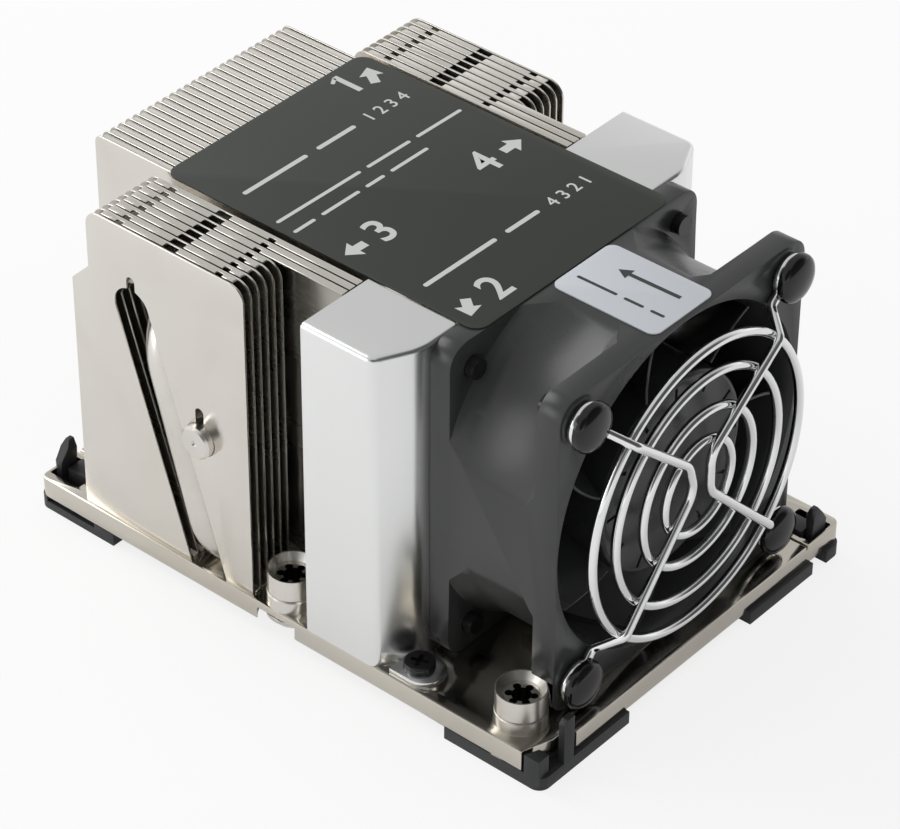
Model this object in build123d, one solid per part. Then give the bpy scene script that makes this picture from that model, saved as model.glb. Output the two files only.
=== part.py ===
from build123d import *
from math import atan2, cos, hypot, pi, radians, sin, sqrt
import os

# Server processor heatsink with a 60 mm fan, two heat pipes and four captive nuts.
# Millimetres. X runs across the plate, Y runs from the fan to the back, Z is up.
# The origin is the middle of the processor contact face, the pad under the plate.

# Base plate
plate_width = 78.0
plate_length = 108.0
plate_thickness = 4.0
plate_corner_radius = 1.5
contact_pad_side_gap = 2.0
contact_pad_end_gap = 2.7
contact_pad_rise = 0.2
contact_pad_corner = 2.0
plate_groove_width = 0.5
plate_groove_depth = 0.8
plate_groove_length = 4.0
plate_groove_inset = 9.1
corner_cut_width = 9.2
corner_cut_depth = 1.6
corner_slant_depth = 3.4
corner_slant_width = 3.7
corner_slant_setback = 0.6
latch_window_inset_x = 4.8
latch_window_inset_y = 3.8
latch_window_width = 5.8
latch_window_length = 6.4

# Fins
stack_top = 64.0
fin_edge_gap = 0.55
fin_sheet = 0.4
fin_flange_gap = 0.28
centre_fin_count = 27
centre_fin_back_gap = 0.5
centre_fin_corner = 1.5
fan_to_fin_gap = 0.6
side_fin_count = 9
long_fin_count = 3
centre_to_side_step = 2.55
short_fin_front = 6.0
side_fin_back = 39.7
side_fin_step = 3.8
side_fin_step_z = 53.0
side_fin_corner = 2.8
side_slot_front = 20.75
side_slot_length = 2.75
interlock_front = 11.8
interlock_back = 33.0
interlock_length = 1.4
interlock_depth = 0.65
bracket_to_fin_gap = 0.3

# Heat pipes
pipe_diameter = 6.0
pipe_fit = 0.06
pipe_foot_bend_radius = 8.0
pipe_top_bend_radius = 12.0
pipe_riser_inset = 2.25
pipe_base_z = 4.6
pipe_base_reach = 20.0
pipe_end_proud = 1.5
pipe_end_chamfer = 0.35
pipe_end_dimple_radius = 0.5
pipe_end_dimple_depth = 0.3
tall_pipe_base_y = 15.4
tall_pipe_run_y = 29.8
tall_pipe_run_z = 49.0
low_pipe_base_y = 22.6
low_pipe_run_y = 16.4
low_pipe_run_z = 30.3
riser_slot_width = 7.4
riser_slot_shift = 0.55
riser_slot_drop = 12.0
solder_hole_width = 1.7
solder_hole_rise = 5.2
run_hole_sides = 8
inner_slot_sides = 4
end_slot_sides = 12

# Fan
fan_size = 60.0
fan_depth = 25.0
fan_back_y = -24.2
fan_front_flange = 4.3
fan_back_flange = 3.9
fan_flange_corner = 3.75
fan_hole_spacing = 50.0
fan_hole_radius = 2.15
fan_barrel_radius = 31.2
fan_flare_radius = 32.9
fan_flare_length = 4.0
fan_front_flare_radius = 32.2
fan_front_flare_length = 2.0
fan_bore_radius = 28.7
fan_inlet_radius = 29.6
fan_inlet_depth = 3.0
nut_relief_clearance = 0.4
screw_end_clearance = 0.3
rivet_bulb_clearance = 0.15

# Fan rotor
hub_radius = 17.5
hub_wall = 1.3
hub_set_back = 1.3
hub_length = 18.4
hub_edge_radius = 1.0
hub_boss_radius = 3.2
hub_boss_length = 3.6
hub_rib_count = 12
hub_rib_width = 0.7
hub_rib_length = 2.6
hub_rib_height = 0.35
hub_rib_margin = 0.3
blade_count = 7
blade_tip_gap = 0.5
blade_thickness = 1.1
blade_front_set_back = 1.6
blade_back_gap = 0.9
blade_root_sweep = 47.0
blade_tip_sweep = 35.0
blade_tip_lead = 9.0
blade_root_overlap = 0.5
blade_trim = 2.0
blade_bow = 0.16
blade_edge_share = 0.4

# Fan motor
motor_base_radius = 16.5
motor_base_thickness = 1.8
motor_base_recess = 0.2
spoke_count = 4
spoke_width = 3.2
spoke_thickness = 2.4
spoke_overlap = 0.6
spoke_angle = 45.0
bearing_radius = 4.0
bearing_width = 3.0
bearing_fit = 0.02
bearing_outer_race = 0.88
bearing_inner_race = 0.7
bearing_groove_depth = 0.25
bearing_seat_shoulder = 1.0
rear_bearing_inset = 0.2
bearing_tube_wall = 0.7
bearing_tube_length = 15.0
shaft_radius = 1.5
shaft_running_clearance = 0.03
shaft_groove_depth = 0.3
shaft_rear_stub = 0.5
clip_ring_radius = 2.7
clip_ring_thickness = 0.4
clip_ring_gap = 0.1
clip_ring_fit = 0.02
clip_ring_mouth = 1.8
yoke_thickness = 0.8
yoke_fit = 0.05
yoke_length = 14.0
magnet_thickness = 1.4
magnet_fit = 0.05
magnet_length = 12.0
air_gap = 0.5
stator_length = 7.0
stator_fit = 0.04
stator_pole_count = 4
stator_pole_width = 3.4
stator_shoe_depth = 1.4
stator_shoe_gap = 2.4
stator_core_radius = 6.6
winding_thickness = 1.5
winding_fit = 0.1
winding_root_gap = 0.2
winding_corner = 1.05
board_radius = 13.0
board_thickness = 1.2
board_hole_clearance = 0.3
washer_thickness = 0.3
washer_radius = 2.6
washer_gap = 0.05

# Wire guard
guard_wire = 1.6
guard_plane_gap = 3.7
guard_ring_radii = (25.9, 20.3, 13.7, 8.3)
guard_weld = 0.2
guard_eyelet_radius = 3.0
left_wire_upper = (-4.6, 7.2)
left_wire_lower = (-3.0, 1.6)
right_wire_upper = (0.9, 6.4)
right_wire_lower = (1.1, -0.8)
guard_step_start = 5.6
guard_step_end = 9.6
guard_knee_radius = 3.0
guard_step_radius = 1.6

# Guard rivets
rivet_head_radius = 4.2
rivet_head_height = 2.3
rivet_head_rim = 0.7
rivet_shank_fit = 0.15
rivet_bulb = 0.6
rivet_bulb_length = 2.6
rivet_play = 0.05

# Duct brackets
bracket_sheet = 1.0
bracket_to_centre_fin_gap = 1.3
bracket_slant_width = 7.4
bracket_slant_depth = 3.7
bracket_back_y = -6.3
bracket_bend_radius = 1.3
bracket_lip_width = 0.5
bracket_foot_inset = 4.2
bracket_foot_half_width = 3.5
bracket_foot_reach = 6.7
bracket_screw_setback = 4.6
bracket_relief_radius = 0.9
bracket_foot_overlap = 0.3

# Screws
bracket_screw_radius = 1.4
bracket_screw_head_radius = 2.6
bracket_screw_head_height = 1.7
bracket_screw_depth = 2.6
screw_thread_fit = 0.05
screw_hole_spare = 0.3
pan_head_round = 0.6
fan_screw_radius = 1.7
fan_screw_head_radius = 2.4
fan_screw_head_height = 1.8
fan_screw_end = 1.6
cross_width = 0.6
cross_length = 2.8
cross_depth = 1.0
bracket_screw_turn = 22.0

# Captive nuts
corner_nut_inset_x = 6.0
corner_nut_inset_y = 8.5
side_nut_inset = 4.3
side_nut_offset = 0.6
nut_body_radius = 4.15
nut_ring_radius = 4.3
nut_ring_height = 2.4
nut_height = 6.5
nut_shank_radius = 3.1
nut_hole_clearance = 0.08
nut_entry_radius = 3.95
nut_recess_radius = 2.95
nut_entry_depth = 1.1
nut_recess_depth = 0.4
star_core_radius = 1.6
star_lobe_radius = 0.65
star_lobe_reach = 2.0
star_lobe_count = 6
star_depth = 3.1
nut_thread_radius = 1.65
nut_web = 0.6
nut_bottom_lift = 0.3
nut_ring_chamfer = 0.15
nut_joint_depth = 0.2
nut_joint_width = 0.25
counterbore_radius = 5.85
counterbore_depth = 2.5
retainer_radius = 4.5
retainer_thickness = 0.6
retainer_play = 0.06
retainer_groove_depth = 0.45
retainer_fit = 0.02
retainer_gap_width = 3.0

# Labels
label_thickness = 0.3
label_width = 46.8
label_front_y = -28.0
label_back_y = 37.0
label_corner = 2.5
flow_label_width = 14.0
flow_label_length = 19.4
flow_label_front_gap = 1.4
flow_label_x = 0.6
flow_label_corner = 1.6

# Carrier clip
clip_thickness = 2.4
clip_overhang = 0.6
clip_side_width = 11.0
clip_end_width = 15.8
clip_corner_radius = 2.0
clip_side_recess = 6.0
clip_front_foot_length = 19.0
clip_back_foot_length = 16.8
clip_end_recess = 4.6
clip_left_foot_width = 21.7
clip_right_foot_width = 24.9
clip_foot_gap_inner = 8.0
clip_foot_gap_outer = 4.2
clip_step_width = 0.8
clip_step_drop = 0.9
clip_step_length = 11.0
clip_stud_hole_radius = 4.2
latch_width = 3.6
latch_thickness = 1.2
latch_height = 5.4
latch_slope_rise = 2.0
latch_tip_width = 1.3
latch_nose_drop = 1.2
latch_nose_reach = 0.3
latch_tip_inset = 0.2
latch_corner = 0.4
latch_window_margin = 0.35
latch_block_rise = 0.6
latch_block_gap = 0.5
latch_block_right = 0.8
corner_post_width = 2.5
corner_post_depth = 2.9
corner_post_side = 1.9
corner_post_drop = 0.1
hook_post_inset = 6.7
hook_post_width = 2.4
hook_post_depth = 1.2
hook_post_rise = 4.7
hook_post_chamfer = 0.7

# Places worked out from the sizes above
fan_middle_z = plate_thickness + fan_size / 2
fan_front_y = fan_back_y - fan_depth
fan_hole_offset = fan_hole_spacing / 2
pipe_radius = pipe_diameter / 2
plate_half_width = plate_width / 2
plate_half_length = plate_length / 2
contact_pad_half_width = plate_half_width - clip_side_width - contact_pad_side_gap
contact_pad_half_length = plate_half_length - clip_end_width - contact_pad_end_gap
latch_window_x = plate_half_width - latch_window_inset_x
latch_window_y = plate_half_length - latch_window_inset_y
plate_groove_x = plate_half_width - plate_groove_inset
hook_post_x = plate_half_width - hook_post_inset
centre_fin_half_count = (centre_fin_count - 1) // 2
fin_room = plate_half_width - fin_edge_gap - fin_sheet / 2 - centre_to_side_step
fin_pitch = fin_room / (centre_fin_half_count + side_fin_count - 1)
side_fin_start = centre_fin_half_count * fin_pitch + centre_to_side_step
side_fin_end = side_fin_start + (side_fin_count - 1) * fin_pitch
side_fin_outer_face = side_fin_end + fin_sheet / 2
centre_fin_front = fan_back_y + fan_to_fin_gap
centre_fin_back = plate_half_length - centre_fin_back_gap
pipe_riser_x = side_fin_outer_face - pipe_riser_inset
bracket_inner_x = centre_fin_half_count * fin_pitch + fin_sheet / 2 + bracket_to_centre_fin_gap
bracket_flat_end_x = plate_half_width - bracket_slant_width
bracket_foot_centre_x = plate_half_width - bracket_foot_inset
long_fin_front = bracket_back_y + bracket_to_fin_gap
nut_top = plate_thickness + nut_height
hub_front_y = fan_front_y + hub_set_back
hub_back_y = hub_front_y + hub_length
motor_base_back_y = fan_back_y - motor_base_recess
motor_base_front_y = motor_base_back_y - motor_base_thickness
bearing_tube_front_y = motor_base_front_y - bearing_tube_length
corner_nut_x = plate_half_width - corner_nut_inset_x
corner_nut_y = plate_half_length - corner_nut_inset_y
side_nut_x = plate_half_width - side_nut_inset
nut_places = {
    "captive_nut_1": (corner_nut_x, corner_nut_y),
    "captive_nut_2": (-corner_nut_x, -corner_nut_y),
    "captive_nut_3": (-side_nut_x, side_nut_offset),
    "captive_nut_4": (side_nut_x, -side_nut_offset),
}
fan_corners = [
    (x * fan_hole_offset, fan_middle_z + z * fan_hole_offset)
    for x in (-1, 1)
    for z in (-1, 1)
]


def block(x0, x1, y0, y1, z0, z1):
    """A box between two corners."""
    size = (x1 - x0, y1 - y0, z1 - z0)
    middle = ((x0 + x1) / 2, (y0 + y1) / 2, (z0 + z1) / 2)
    return Pos(*middle) * Box(*size)


def post(x, y, radius, z0, z1):
    """A round post along Z."""
    return Pos(x, y, (z0 + z1) / 2) * Cylinder(radius, z1 - z0)


def fan_round(radius, y0, y1, x=0.0, z=fan_middle_z):
    """A cylinder along Y, on the fan's axis unless placed."""
    return Pos(x, (y0 + y1) / 2, z) * Rot(90, 0, 0) * Cylinder(radius, y1 - y0)


def fan_cone(front_radius, back_radius, y0, y1, x=0.0, z=fan_middle_z):
    """A cone along Y from its front radius at y0 to its back radius at y1."""
    cone = Cone(front_radius, back_radius, y1 - y0)
    return Pos(x, (y0 + y1) / 2, z) * Rot(-90, 0, 0) * cone


def across(outline, x0, x1):
    """A prism along X from points given as (y, z)."""
    face = make_face(Polyline(*outline, close=True))
    return extrude(Plane.YZ.offset(x0) * face, x1 - x0)


def upright(outline, z0, z1):
    """A prism along Z from points given as (x, y)."""
    face = make_face(Polyline(*outline, close=True))
    return extrude(Pos(0, 0, z0) * face, z1 - z0)


def half_turn(shape):
    """The same shape turned half round about the plate's middle."""
    return Rot(0, 0, 180) * shape


def mirrored(shape):
    """The same shape on the other side of the middle plane."""
    return mirror(shape, about=Plane.YZ)


def ring_of(points, middle, radius, sides):
    """Corner points of a regular polygon drawn outside a circle of the given radius."""
    reach = radius / cos(pi / sides)
    for side in range(sides):
        angle = 2 * pi * (side + 0.5) / sides
        points.append((middle[0] + reach * cos(angle), middle[1] + reach * sin(angle)))
    return points


# Heat pipes

def pipe_route(side, base_y, run_y, run_z):
    """The centre line of a pipe: along the plate, up one side and back through the fins."""
    outer_end = side_fin_outer_face + pipe_end_proud
    corners = [
        (-side * pipe_base_reach, base_y, pipe_base_z),
        (side * pipe_riser_x, base_y, pipe_base_z),
        (side * pipe_riser_x, run_y, run_z),
        (-side * outer_end, run_y, run_z),
    ]
    return FilletPolyline(*corners, radius=[pipe_foot_bend_radius, pipe_top_bend_radius])


def pipe_along(route, radius):
    """A round bar that follows a centre line."""
    start = Plane(origin=route @ 0, z_dir=route % 0)
    return sweep(start * Circle(radius), path=route)


def heat_pipe(side, base_y, run_y, run_z):
    """A bent pipe whose free end has a small chamfer and a dimple from its sealing."""
    bar = pipe_along(pipe_route(side, base_y, run_y, run_z), pipe_radius)
    ends = [edge for edge in bar.edges() if edge.geom_type == GeomType.CIRCLE]
    free_end = sorted(ends, key=lambda edge: -side * edge.center().X)[-1]
    bar = chamfer(free_end, pipe_end_chamfer)
    outer_end = side_fin_outer_face + pipe_end_proud
    dimple = Cylinder(pipe_end_dimple_radius, 2 * pipe_end_dimple_depth)
    return bar - Pos(-side * outer_end, run_y, run_z) * Rot(0, 90, 0) * dimple


def tall_pipe_values():
    """The pipe that rises on the left and ends on the right."""
    return (-1, tall_pipe_base_y, tall_pipe_run_y, tall_pipe_run_z)


def low_pipe_values():
    """The pipe that rises on the right and ends on the left."""
    return (1, low_pipe_base_y, low_pipe_run_y, low_pipe_run_z)


# Base plate

def corner_cut():
    """The cut at the front left corner where the carrier clip hooks on."""
    left = -plate_half_width
    front = -plate_half_length
    inner_x = left + corner_cut_width
    slant_x = inner_x - corner_slant_width
    outline = [
        (left - 1, front - 1),
        (inner_x, front - 1),
        (inner_x, front + corner_cut_depth),
        (slant_x, front + corner_cut_depth),
        (left + corner_slant_setback, front + corner_slant_depth),
        (left - 1, front + corner_slant_depth),
    ]
    return upright(outline, -1, plate_thickness + 1)


def latch_window():
    """The window at the front right that the clip's latch comes up through."""
    half_x = latch_window_width / 2
    half_y = latch_window_length / 2
    return block(
        latch_window_x - half_x, latch_window_x + half_x,
        -latch_window_y - half_y, -latch_window_y + half_y,
        -1, plate_thickness + 1,
    )


def plate_groove():
    """A thin saw groove in the top, by the front right corner."""
    half = plate_groove_width / 2
    front = -plate_half_length
    return block(
        plate_groove_x - half, plate_groove_x + half,
        front - 1, front + plate_groove_length,
        plate_thickness - plate_groove_depth, plate_thickness + 1,
    )


def base_plate():
    """The plate, with its nut holes, windows, corner cuts and pipe grooves."""
    plate = block(
        -plate_half_width, plate_half_width,
        -plate_half_length, plate_half_length,
        contact_pad_rise, plate_thickness,
    )
    plate = fillet(plate.edges().filter_by(Axis.Z), plate_corner_radius)
    pad_x = contact_pad_half_width
    pad_y = contact_pad_half_length
    pad = block(-pad_x, pad_x, -pad_y, pad_y, 0, plate_thickness)
    plate += fillet(pad.edges().filter_by(Axis.Z), contact_pad_corner)
    cuts = [corner_cut(), latch_window(), plate_groove()]
    cuts += [half_turn(cut) for cut in cuts]
    for x, y in nut_places.values():
        hole_radius = nut_shank_radius + nut_hole_clearance
        cuts.append(post(x, y, hole_radius, -1, plate_thickness + 1))
        cuts.append(post(x, y, counterbore_radius, -1, counterbore_depth))
    for side in (-1, 1):
        x, y = bracket_screw_place(side)
        hole = plate_thickness - bracket_screw_depth - screw_hole_spare
        cuts.append(post(x, y, bracket_screw_radius + screw_thread_fit, hole, plate_thickness + 1))
    for values in (tall_pipe_values(), low_pipe_values()):
        cuts.append(pipe_along(pipe_route(*values), pipe_radius + pipe_fit))
    return plate - cuts


# Fins

def run_hole(y, z):
    """The hole for a pipe's straight run, as a many-sided outline."""
    return ring_of([], (y, z), pipe_radius + pipe_fit, run_hole_sides)


def round_hole(y, z, x0, x1):
    """A round hole for a pipe's straight run."""
    radius = pipe_radius + pipe_fit
    return Pos((x0 + x1) / 2, y, z) * Rot(0, 90, 0) * Cylinder(radius, x1 - x0)


def solder_hole(y, z, x0, x1):
    """The small upright slot above a pipe hole."""
    half = solder_hole_width / 2
    top = z + solder_hole_rise
    slot = block(x0, x1, y - half, y + half, z, top)
    return slot + Pos((x0 + x1) / 2, y, top) * Rot(0, 90, 0) * Cylinder(half, x1 - x0)


def riser_slot(base_y, run_y, run_z, x0, x1, sides):
    """The slanted slot that a pipe's riser lies in, open at the foot of the fin."""
    lean = atan2(run_y - base_y, run_z - pipe_base_z)
    half = riser_slot_width / 2
    shift = riser_slot_shift if run_y > base_y else -riser_slot_shift
    top = (run_y + shift, run_z)
    foot = (top[0] - (run_z - pipe_base_z + riser_slot_drop) * sin(lean) / cos(lean),
            pipe_base_z - riser_slot_drop)
    side_y = half * cos(lean)
    side_z = half * sin(lean)
    outline = [(foot[0] - side_y, foot[1] + side_z), (foot[0] + side_y, foot[1] - side_z)]
    reach = half / cos(pi / (2 * sides))
    for step in range(sides):
        angle = -lean + pi * (step + 0.5) / sides
        outline.append((top[0] + reach * cos(angle), top[1] + reach * sin(angle)))
    return across(outline, x0, x1)


def fin_sheet_blank(outline, corners, x0):
    """A flat fin from (y, z) points, with some of its corners rounded."""
    face = make_face(Polyline(*outline, close=True))
    for y, z, radius in corners:
        nearest = sorted(face.vertices(), key=lambda v: hypot(v.X - y, v.Y - z))[0]
        face = fillet(nearest, radius)
    return extrude(Plane.YZ.offset(x0) * face, fin_sheet)


def centre_fin(with_flange):
    """One middle fin at x = 0, with its folded edges towards +X."""
    front = centre_fin_front
    back = centre_fin_back
    half = fin_sheet / 2
    outline = [(front, plate_thickness), (back, plate_thickness), (back, stack_top), (front, stack_top)]
    fin = fin_sheet_blank(outline, [(back, stack_top, centre_fin_corner)], -half)
    reach = fin_pitch - half - fin_flange_gap
    if with_flange:
        top = block(half, reach, front, back - centre_fin_corner, stack_top - fin_sheet, stack_top)
        foot = block(half, reach, front, back, plate_thickness, plate_thickness + fin_sheet)
        fin = fin + top + foot
    cuts = []
    for side, base_y, run_y, run_z in (tall_pipe_values(), low_pipe_values()):
        cuts.append(across(run_hole(run_y, run_z), -fin_pitch, fin_pitch))
        cuts.append(across(run_hole(base_y, pipe_base_z), -fin_pitch, fin_pitch))
    return fin - cuts


def centre_fins():
    """The middle stack of like fins, each one its own sheet."""
    inner = centre_fin(True)
    last = centre_fin(False)
    sheets = []
    for index in range(-centre_fin_half_count, centre_fin_half_count):
        sheets.append(Pos(index * fin_pitch, 0, 0) * inner)
    sheets.append(Pos(centre_fin_half_count * fin_pitch, 0, 0) * last)
    return sheets


def side_outline(front, stepped):
    """The (y, z) outline of a side fin, stepped forward near its top on one side."""
    lower_back = side_fin_back + (side_fin_step if stepped else 0.0)
    outline = [(front, plate_thickness), (lower_back, plate_thickness)]
    if stepped:
        outline.append((lower_back, side_fin_step_z - side_fin_step))
        outline.append((side_fin_back, side_fin_step_z))
    outline.append((side_fin_back, stack_top))
    outline.append((front, stack_top))
    return outline


def side_fin(front, stepped, side, kind):
    """One side fin at x = 0, with its folded edges towards +X.

    The kind is inner, or end for the outermost plate, which has no folded edges.
    """
    half = fin_sheet / 2
    corners = [(side_fin_back, stack_top, side_fin_corner)]
    if front == short_fin_front:
        corners.append((front, stack_top, side_fin_corner))
    fin = fin_sheet_blank(side_outline(front, stepped), corners, -half)
    x0 = -fin_pitch
    x1 = fin_pitch
    if kind == "inner":
        reach = fin_pitch - half - fin_flange_gap
        flange_front = front + (side_fin_corner if front == short_fin_front else 0.0)
        flange_back = side_fin_back - side_fin_corner
        slot_back = side_slot_front + side_slot_length
        low = stack_top - fin_sheet
        fin += block(half, reach, flange_front, side_slot_front, low, stack_top)
        fin += block(half, reach, slot_back, flange_back, low, stack_top)
        foot_back = side_fin_back + (side_fin_step if stepped else 0.0)
        foot_top = plate_thickness + fin_sheet
        fin += block(half, reach, front, foot_back, plate_thickness, foot_top)
        for y in (interlock_front, interlock_back):
            y0 = y - interlock_length / 2
            y1 = y0 + interlock_length
            fin -= block(reach - interlock_depth, reach + 1, y0, y1, low - 1, stack_top + 1)
    riser = tall_pipe_values() if side < 0 else low_pipe_values()
    ended = low_pipe_values() if side < 0 else tall_pipe_values()
    fine = kind == "end"
    sides = end_slot_sides if fine else inner_slot_sides
    fin -= riser_slot(riser[1], riser[2], riser[3], x0, x1, sides)
    shift = riser_slot_shift if riser[2] > riser[1] else -riser_slot_shift
    if fine:
        fin -= solder_hole(riser[2] + shift, riser[3], x0, x1)
        fin -= solder_hole(ended[2], ended[3], x0, x1)
        fin -= round_hole(ended[2], ended[3], x0, x1)
    else:
        fin -= across(run_hole(ended[2], ended[3]), x0, x1)
    return fin


def side_fins(side):
    """The nine fins on one side: three long ones, five short ones and the end plate."""
    stepped = side < 0
    sheets = []
    long_fin = side_fin(long_fin_front, stepped, side, "inner")
    short_fin = side_fin(short_fin_front, stepped, side, "inner")
    end_plate = side_fin(short_fin_front, stepped, side, "end")
    for index in range(side_fin_count):
        sheet = long_fin if index < long_fin_count else short_fin
        if index == side_fin_count - 1:
            sheet = end_plate
        placed = Pos(side_fin_start + index * fin_pitch, 0, 0) * sheet
        sheets.append(mirrored(placed) if side < 0 else placed)
    return sheets


# Duct brackets

def bracket_outline(inset):
    """The plan of the right bracket, moved inwards by a wall."""
    outer = plate_half_width - inset
    front = fan_back_y + inset
    slope = bracket_slant_depth / (plate_half_width - bracket_flat_end_x)
    lift = inset * (sqrt(1 + slope * slope) - 1)
    flat_end = bracket_flat_end_x + lift / slope if inset else bracket_flat_end_x
    slant_y = fan_back_y + bracket_slant_depth
    side_front = slant_y + inset * (sqrt(1 + slope * slope) - slope)
    inner = bracket_inner_x - (1 if inset else 0)
    back = bracket_back_y + (1 if inset else 0)
    return [(inner, front), (flat_end, front), (outer, side_front), (outer, back), (inner, back)]


def bracket_screw_place(side):
    """Where a bracket's foot screw goes."""
    foot_front = fan_back_y - bracket_foot_reach
    return (side * bracket_foot_centre_x, foot_front + bracket_screw_setback)


def duct_bracket():
    """The right bent sheet bracket: top, side, slanted front, fan flange and foot."""
    shell = upright(bracket_outline(0.0), plate_thickness, stack_top)
    bends = shell.edges().filter_by(Axis.Z).filter_by(lambda e: e.center().X > bracket_inner_x + 1)
    bends = bends.filter_by(lambda e: e.center().Y < bracket_back_y - 1)
    shell = fillet(bends, bracket_bend_radius)
    rim = shell.faces().sort_by(Axis.Z)[-1].edges()
    rim = rim.filter_by(lambda e: e.center().Y < bracket_back_y - 0.1)
    rim = rim.filter_by(lambda e: e.center().X > bracket_inner_x + 0.1)
    shell = fillet(rim, bracket_bend_radius)
    shell -= upright(bracket_outline(bracket_sheet), plate_thickness - 1, stack_top - bracket_sheet)
    shell -= fan_round(fan_bore_radius, fan_back_y - 1, fan_back_y + bracket_sheet + bracket_lip_width)
    for z in (fan_middle_z - fan_hole_offset, fan_middle_z + fan_hole_offset):
        hole = fan_screw_radius + screw_thread_fit
        shell -= fan_round(hole, fan_back_y - 1, fan_back_y + bracket_sheet + 1, fan_hole_offset, z)
    relief_y = fan_back_y + bracket_slant_depth
    shell -= post(plate_half_width, relief_y, bracket_relief_radius, plate_thickness - 1,
                  plate_thickness + bracket_relief_radius)
    return shell + bracket_foot()


def bracket_foot():
    """The rounded foot of the right bracket, flat on the plate."""
    left = bracket_foot_centre_x - bracket_foot_half_width
    right = bracket_foot_centre_x + bracket_foot_half_width
    front = fan_back_y - bracket_foot_reach
    round_y = front + bracket_foot_half_width
    top = plate_thickness + bracket_sheet
    slope = bracket_slant_depth / (plate_half_width - bracket_flat_end_x)
    left_y = fan_back_y + max(left - bracket_flat_end_x, 0.0) * slope + bracket_foot_overlap
    right_y = fan_back_y + (right - bracket_flat_end_x) * slope + bracket_foot_overlap
    outline = [(left, round_y), (right, round_y), (right, right_y), (left, left_y)]
    foot = upright(outline, plate_thickness, top)
    foot += post(bracket_foot_centre_x, round_y, bracket_foot_half_width, plate_thickness, top)
    x, y = bracket_screw_place(1)
    hole = bracket_screw_radius + screw_thread_fit
    return foot - post(x, y, hole, plate_thickness - 1, top + 1)


# Screws

def cross_recess(depth):
    """A cross recess cut down from z = 0."""
    half = cross_length / 2
    width = cross_width / 2
    bar = block(-half, half, -width, width, -depth, 1)
    return bar + Rot(0, 0, 90) * bar


def pan_screw(shank_radius, length, head_radius, head_height):
    """A pan head screw pointing down, its head seated at z = 0."""
    shank = post(0, 0, shank_radius, -length, 0)
    head = post(0, 0, head_radius, 0, head_height)
    head = fillet(head.edges().sort_by(Axis.Z)[-1], head_height * pan_head_round)
    screw = shank + head
    return screw - Pos(0, 0, head_height) * cross_recess(cross_depth)


def bracket_screws():
    """The two black screws that hold the bracket feet."""
    top = plate_thickness + bracket_sheet
    length = bracket_sheet + bracket_screw_depth
    screws = []
    for side in (-1, 1):
        x, y = bracket_screw_place(side)
        head = (bracket_screw_head_radius, bracket_screw_head_height)
        screw = pan_screw(bracket_screw_radius, length, *head)
        screws.append(Pos(x, y, top) * Rot(0, 0, bracket_screw_turn) * screw)
    return screws


def fan_mount_screws():
    """The four screws that pull the fan against the brackets, from behind."""
    seat = fan_back_y + bracket_sheet
    length = bracket_sheet + fan_back_flange + fan_screw_end
    screws = []
    for x, z in fan_corners:
        head = (fan_screw_head_radius, fan_screw_head_height)
        screw = pan_screw(fan_screw_radius, length, *head)
        screws.append(Pos(x, seat, z) * Rot(-90, 0, 0) * screw)
    return screws


# Captive nuts

def star_socket(depth):
    """A six-lobed socket cut down from z = 0."""
    socket = post(0, 0, star_core_radius, -depth, 1)
    for lobe in range(star_lobe_count):
        angle = 2 * pi * lobe / star_lobe_count
        x = star_lobe_reach * cos(angle)
        y = star_lobe_reach * sin(angle)
        socket += post(x, y, star_lobe_radius, -depth, 1)
    return socket


def captive_nut():
    """One turned nut at the origin, with its shank through the plate."""
    ring_top = plate_thickness + nut_ring_height
    floor = nut_top - nut_entry_depth - nut_recess_depth
    groove_top = counterbore_depth
    groove_low = counterbore_depth - retainer_thickness - 2 * retainer_play
    groove_radius = nut_shank_radius - retainer_groove_depth
    joint_radius = nut_body_radius - nut_joint_depth
    profile = [
        (0, nut_bottom_lift),
        (nut_shank_radius, nut_bottom_lift),
        (nut_shank_radius, groove_low),
        (groove_radius, groove_low),
        (groove_radius, groove_top),
        (nut_shank_radius, groove_top),
        (nut_shank_radius, plate_thickness),
        (nut_ring_radius, plate_thickness),
        (nut_ring_radius, ring_top - nut_ring_chamfer),
        (nut_ring_radius - nut_ring_chamfer, ring_top),
        (joint_radius, ring_top),
        (joint_radius, ring_top + nut_joint_width),
        (nut_body_radius, ring_top + nut_joint_width),
        (nut_body_radius, nut_top),
        (nut_entry_radius, nut_top),
        (nut_recess_radius, nut_top - nut_entry_depth),
        (nut_recess_radius, floor),
        (0, floor),
    ]
    face = make_face(Polyline(*profile, close=True))
    nut = revolve(Plane.XZ * face, Axis.Z)
    nut -= Pos(0, 0, floor) * star_socket(star_depth)
    thread_top = floor - star_depth - nut_web
    return nut - post(0, 0, nut_thread_radius, nut_bottom_lift - 1, thread_top)


def retaining_ring():
    """The open ring under the plate that keeps a nut in its hole."""
    high = counterbore_depth - retainer_play
    low = high - retainer_thickness
    inner = nut_shank_radius - retainer_groove_depth + retainer_fit
    ring = post(0, 0, retainer_radius, low, high) - post(0, 0, inner, low - 1, high + 1)
    half = retainer_gap_width / 2
    return ring - block(0, retainer_radius + 1, -half, half, low - 1, high + 1)


# Fan frame

def fan_flange(y0, y1):
    """A square flange of the fan frame with rounded corners."""
    half = fan_size / 2
    plate = block(-half, half, y0, y1, plate_thickness, plate_thickness + fan_size)
    return fillet(plate.edges().filter_by(Axis.Y), fan_flange_corner)


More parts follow.
